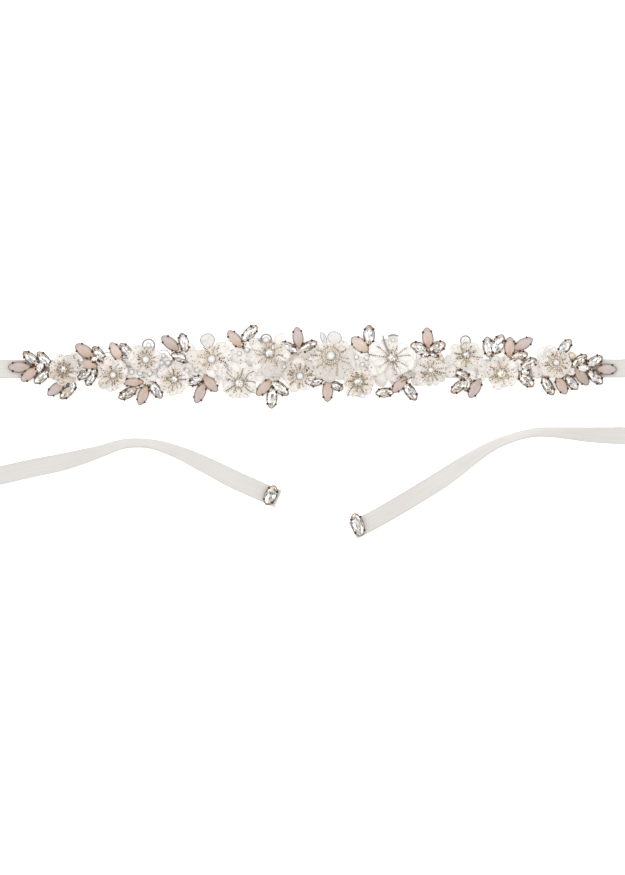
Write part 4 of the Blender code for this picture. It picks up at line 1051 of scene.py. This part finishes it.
        "place": (110.1, 10.1), "centre": ("gem", 5.0), "rings": (("sand", 3.8),),
        "petals": (("sheer", 152, 2, 13.0, 8), ("white", 182, 2, 11.5, 8), ("cream", 222, 2, 11.0, 8),
            ("cream", 262, 2, 10.6, 8), ("lime", 302, 2, 12.0, 8), ("white", 336, 2, 12.5, 8),
            ("white", 8, 2, 12.5, 8), ("white", 45, 2, 11.0, 8), ("cream", 110, 2, 9.2, 7),
            ("cream", 75, 2, 9.2, 7)),
        "fillers": (("white", 99, 2, 30, 10, 9), ("white", 106, -3, -10, 11, 8),
            ("organza", 118, 0, 20, 9, 10), ("milk", 108, -4, -80, 6, 7)),
        "lines": (("bronze", 350, 4.0, 12.0), ("gold", 200, 3.8, 7.6), ("gold", 240, 3.8, 7.6),
            ("gold", 60, 3.8, 7.0), ("gold", 130, 3.8, 7.2), ("bronze", 22, 3.8, 7.0),
            ("bronze", 172, 3.8, 8.8), ("gold", 268, 3.8, 9.0), ("gold", 300, 3.8, 8.0),
            ("bronze", 218, 3.6, 6.0)), "arches": ((94, 10.0, 3.5, "pearl", 3.6),)},
    "flower_14": {
        "place": (135.2, -3.3), "centre": ("amber", 6.3), "rings": (("sand", 4.4),),
        "petals": (("sheer", 112, 2, 13.5, 8.5), ("cream", 78, 2, 13.0, 7.5), ("blush", 150, 2, 11.5, 8),
            ("blush", 184, 2, 11.4, 8.5), ("cream", 218, 2, 10.6, 8), ("sheer", 254, 2, 12.4, 9),
            ("sheer", 288, 2, 10.6, 7.5), ("white", 322, 2, 12.5, 8.5), ("white", 356, 2, 12.0, 8.5),
            ("white", 36, 2, 13.0, 9)),
        "fillers": (("white", 122, 0, 10, 9, 10), ("white", 142, 2, 20, 6, 8), ("white", 124, -5, 190, 6, 7),
            ("organza", 142, -4, -10, 6, 7), ("milk", 144, 2, 10, 7, 8)),
        "lines": (("bronze", 148, 4.6, 9.5), ("gold", 200, 4.6, 8.6), ("gold", 285, 4.6, 8.4),
            ("gold", 20, 4.6, 9.5), ("gold", 345, 4.6, 9.0), ("gold", 105, 4.8, 9.5),
            ("bronze", 212, 4.6, 7.6), ("gold", 320, 4.6, 7.0), ("gold", 60, 4.6, 8.6),
            ("gold", 250, 4.6, 7.0)),
        "strands": (("pale", 133.6, 1.6, 132.8, 9.4, -0.6), ("pale", 134.2, 2.2, 138.0, 8.6, 0.8))},
    "flower_15": {
        "place": (174.4, 4.5), "centre": ("rosePearl", 4.4), "rings": (("sand", 3.3), ("sand", 4.3)),
        "petals": (("wing", 118, 3, 14.0, 9), ("wing", 146, 3, 16.5, 10), ("white", 184, 3, 12.0, 8),
            ("rose", 214, 2, 13.0, 9), ("lime", 252, 2, 11.4, 8), ("lime", 290, 2, 11.4, 8),
            ("cream", 322, 2, 10.6, 8), ("cream", 352, 2, 10.8, 8), ("cream", 32, 2, 10.0, 7.5),
            ("cream", 70, 2, 9.0, 7), ("cream", 100, 2, 8.0, 7)),
        "fillers": (("rose", 166, 0, 185, 9, 11), ("grey", 164, -3, 180, 5, 8), ("white", 181, 0, 0, 8, 9),
            ("organza", 167, 6, 150, 6, 8), ("milk", 186, -1, 10, 9, 8)),
        "spokes": (("gold", 12, 0, 4.8, 8.6), ("bronze", 4, 20, 5.0, 8.0)),
        "strands": (("pale", 163.6, 8.4, 174.8, 16.0, 1.2), ("pale", 171.0, 9.0, 170.4, 14.4, 0.4))},
}


# How high a petal lies at a distance from its middle
def petalHeight(petal, distance):
    outside = max(0.0, distance - bloom["riseOver"])
    return petal["root"] + petal["rise"] * easeIn(distance / bloom["riseOver"]) - bloom["droop"] * outside


# A point on the petal, before it is turned to its place
def petalPoint(petal, across, along):
    start, reach, width = petal["start"], petal["reach"], petal["width"]
    middle = bloom["roundFrom"]
    if along < middle:
        spread = bloom["rootWidth"] + 0.7 * sin(pi / 2 * along / middle)  # 0.7 brings it up to 1
    else:
        spread = sqrt(max(0.0, 1 - ((along - middle) / (1 - middle)) ** 2))
    x = start + (reach - start) * along
    y = across * spread * width / 2
    wave = sin(along * 5 + petal["phase"]) * across + 0.6 * sin(across * 3 + petal["phase"] * 2)
    cupped = petalHeight(petal, x) + bloom["cup"] * (across * spread) ** 2
    return Vector((x, y, cupped + bloom["ruffle"] * wave + petal["layer"]))


# The same point on the flower
def onPetal(petal, across, along, lift=0.0):
    turned = Matrix.Rotation(radians(petal["turn"]), 3, "Z") @ petalPoint(petal, across, along)
    return turned + Vector((petal["place"][0], petal["place"][1], lift))


def addPetal(bm, layers, petal):
    inner, outer, opacity = petalKinds[petal["kind"]][:3]
    grid = bmesh.ops.create_grid(bm, x_segments=bloom["grid"][0], y_segments=bloom["grid"][1],
                                 size=1.0)["verts"]
    shade = 1 + random.uniform(-0.05, 0.03)
    for v in grid:
        across, along = v.co.x, (v.co.y + 1) / 2
        colour = Vector(inner).lerp(Vector(outer), easeIn(along * 1.3 - 0.1)) * shade
        v[layers["petals"]] = (*colour, opacity)
        v[layers["across"]] = across * petal["width"] / 8
        v.co = onPetal(petal, across, along)


# The petal's outline from its root round the tip and back
def rimLine(petal, inset):
    steps = [0.12 + 0.88 * i / 12 for i in range(13)]
    side = [onPetal(petal, -inset, along, bloom["rimLift"]) for along in steps]
    return side + [onPetal(petal, inset, along, bloom["rimLift"]) for along in reversed(steps[:-1])]


# A petal with its beaded or wired rim and its seed beads
def dressPetal(parts, layers, petal):
    addPetal(parts["petals"], layers, petal)
    rim, seeds = petalKinds[petal["kind"]][3:]
    if rim == "beads":
        for spot in evenly(rimLine(petal, 0.97), bloom["rimGap"]):
            setBead(parts["seeds"], seedPattern, spot, bloom["rimBead"] * random.uniform(0.9, 1.1),
                    bloom["rimTint"])
    else:
        addTubes(parts[rim], [rimLine(petal, 1.0)], bloom["rimWire"][rim], 0)
    for i in range(seeds):
        along = 0.25 + 0.62 * (i + random.random()) / seeds
        spot = onPetal(petal, random.uniform(-0.8, 0.8), along, bloom["seedLift"])
        setBead(parts["seeds"], seedPattern, spot, bloom["seedBead"] * random.uniform(0.8, 1.2),
                random.choice(bloom["seedTints"]))


def polar(place, turn, distance, height):
    angle = radians(turn)
    return Vector((place[0] + distance * cos(angle), place[1] + distance * sin(angle), height))


# A cut stone in a round pronged cup, or a pearl
def addCentre(parts, layers, kind, size, place):
    x, y = place
    base = bloom["root"] + 0.5
    if kind in pearlTints:
        # a centre pearl keeps more colour below its middle: lighter painted shade
        addPearl(parts, kind, (x, y, base + size * 0.3), size, 0.7)
        return
    facets = stone["centreFacets"] if kind == "gem" else stone["amberFacets"]
    made = {"cups": addSetting(parts["cups"], size + 0.7, size + 0.7, base),
            "crystal": addGem(parts["crystal"], layers["crystal"], size + 0.8, size + 0.8, base, facets)}
    for name, verts in made.items():
        moveVerts(parts[name], verts, (x, y, 0))
    for i in range(bloom["gripCount"]):
        spot = polar(place, 60 * i + 30, size / 2 + 0.3, base + stone["rim"] + 0.35)
        setBead(parts["bronze"], seedPattern, spot, bloom["gripSize"])


# Points from one place to another over the petals, bowed to the left
def strand(start, end, bow):
    start, end = Vector(start), Vector(end)
    side = Vector((start.y - end.y, end.x - start.x, 0)).normalized()
    return [start.lerp(end, i / 10) + side * bow * sin(pi * i / 10) for i in range(11)]


def makeFlower(node, flower):
    parts, layers = newParts()
    place = flower["place"]
    top = bloom["root"] + bloom["rise"] + bloom["topLift"]
    rows = [(*row, place, "root", "rise") for row in flower["petals"]]
    rows += [(kind, turn, 0, reach, width, (x, y), "fillerRoot", "fillerRise")
             for kind, x, y, turn, reach, width in flower["fillers"]]
    for i, (kind, turn, start, reach, width, middle, root, rise) in enumerate(rows):
        dressPetal(parts, layers, {
            "kind": kind, "turn": turn, "start": start, "reach": reach, "width": width, "place": middle,
            "root": bloom[root], "rise": bloom[rise], "layer": bloom["layer"] * (i % 3),
            "phase": random.uniform(0, 6.28)})
    lines = [(kind, strand((x, y, top), (toX, toY, top), bow))
             for kind, x, y, toX, toY, bow in flower.get("strands", ())]
    rays = list(flower.get("lines", ()))
    for kind, count, turn, start, end in flower.get("spokes", ()):
        for i in range(count):
            spoke = turn + 360 * i / count + random.uniform(-bloom["spokeTurn"], bloom["spokeTurn"])
            rays.append((kind, spoke, start, end + random.uniform(*bloom["spokeReach"])))
    for kind, turn, start, end in rays:
        lines.append((kind, strand(polar(place, turn, start, top - 0.3), polar(place, turn, end, top),
                                   random.uniform(-0.5, 0.5))))
    for turn, distance, radius, kind, size in flower.get("arches", ()):
        middle = polar(place, turn, distance, top + 1.0)
        half, steps = bloom["archTurn"], bloom["archSteps"]
        turns = [turn - half + 2 * half * k / steps for k in range(steps + 1)]
        lines.append(("band", [polar(middle, angle, radius, top + 1.0) for angle in turns]))
        addPearl(parts, kind, middle, size)
    for kind, points in lines:
        if kind in ("dark", "pale", "band"):
            addTubes(parts[kind], [points], bloom[kind + "Wire"])
            continue
        for spot in evenly(points, bloom["beadGap"]):
            spot = spot + Vector((random.uniform(-0.15, 0.15), random.uniform(-0.15, 0.15), 0))
            other = {"gold": "bronze", "bronze": "gold"}.get(kind, kind)
            chosen = other if random.random() < bloom["swap"] else kind
            addBead(parts, chosen, spot, bloom["beadSize"] * random.uniform(*bloom["beadSpread"]))
    for kind, radius in flower["rings"]:
        count = round(2 * pi * radius / bloom["ringGap"])
        for i in range(count):
            turn = 360 * (i + random.uniform(-0.2, 0.2)) / count
            spot = polar(place, turn, radius + random.uniform(-0.3, 0.3), top + 0.1)
            addBead(parts, kind, spot, bloom["beadSize"] * random.uniform(*bloom["beadSpread"]))
    for kind, x, y, size in flower.get("pearls", ()):
        addPearl(parts, kind, (x, y, top + size / 3), size)
    kind, size = flower["centre"]
    addCentre(parts, layers, kind, size, place)
    hubTop = bloom["root"] + 0.6
    hub = bmesh.ops.create_cone(parts["cups"], cap_ends=True, segments=16, radius1=bloom["cupRadii"][0],
                                radius2=bloom["cupRadii"][1], depth=hubTop - bloom["cupFoot"])
    bmesh.ops.translate(parts["cups"], verts=hub["verts"], vec=(*place, (hubTop + bloom["cupFoot"]) / 2))
    placeParts(node, parts)


for flowerName, flowerRow in flowers.items():
    makeFlower(flowerName, flowerRow)
print("flowers made")

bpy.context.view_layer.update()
triangles = 0
for shown in scene.objects:
    if shown.type == "MESH" and not shown.hide_render:
        triangles += sum(len(p.vertices) - 2 for p in shown.data.polygons)
print("triangles before walls:", triangles)
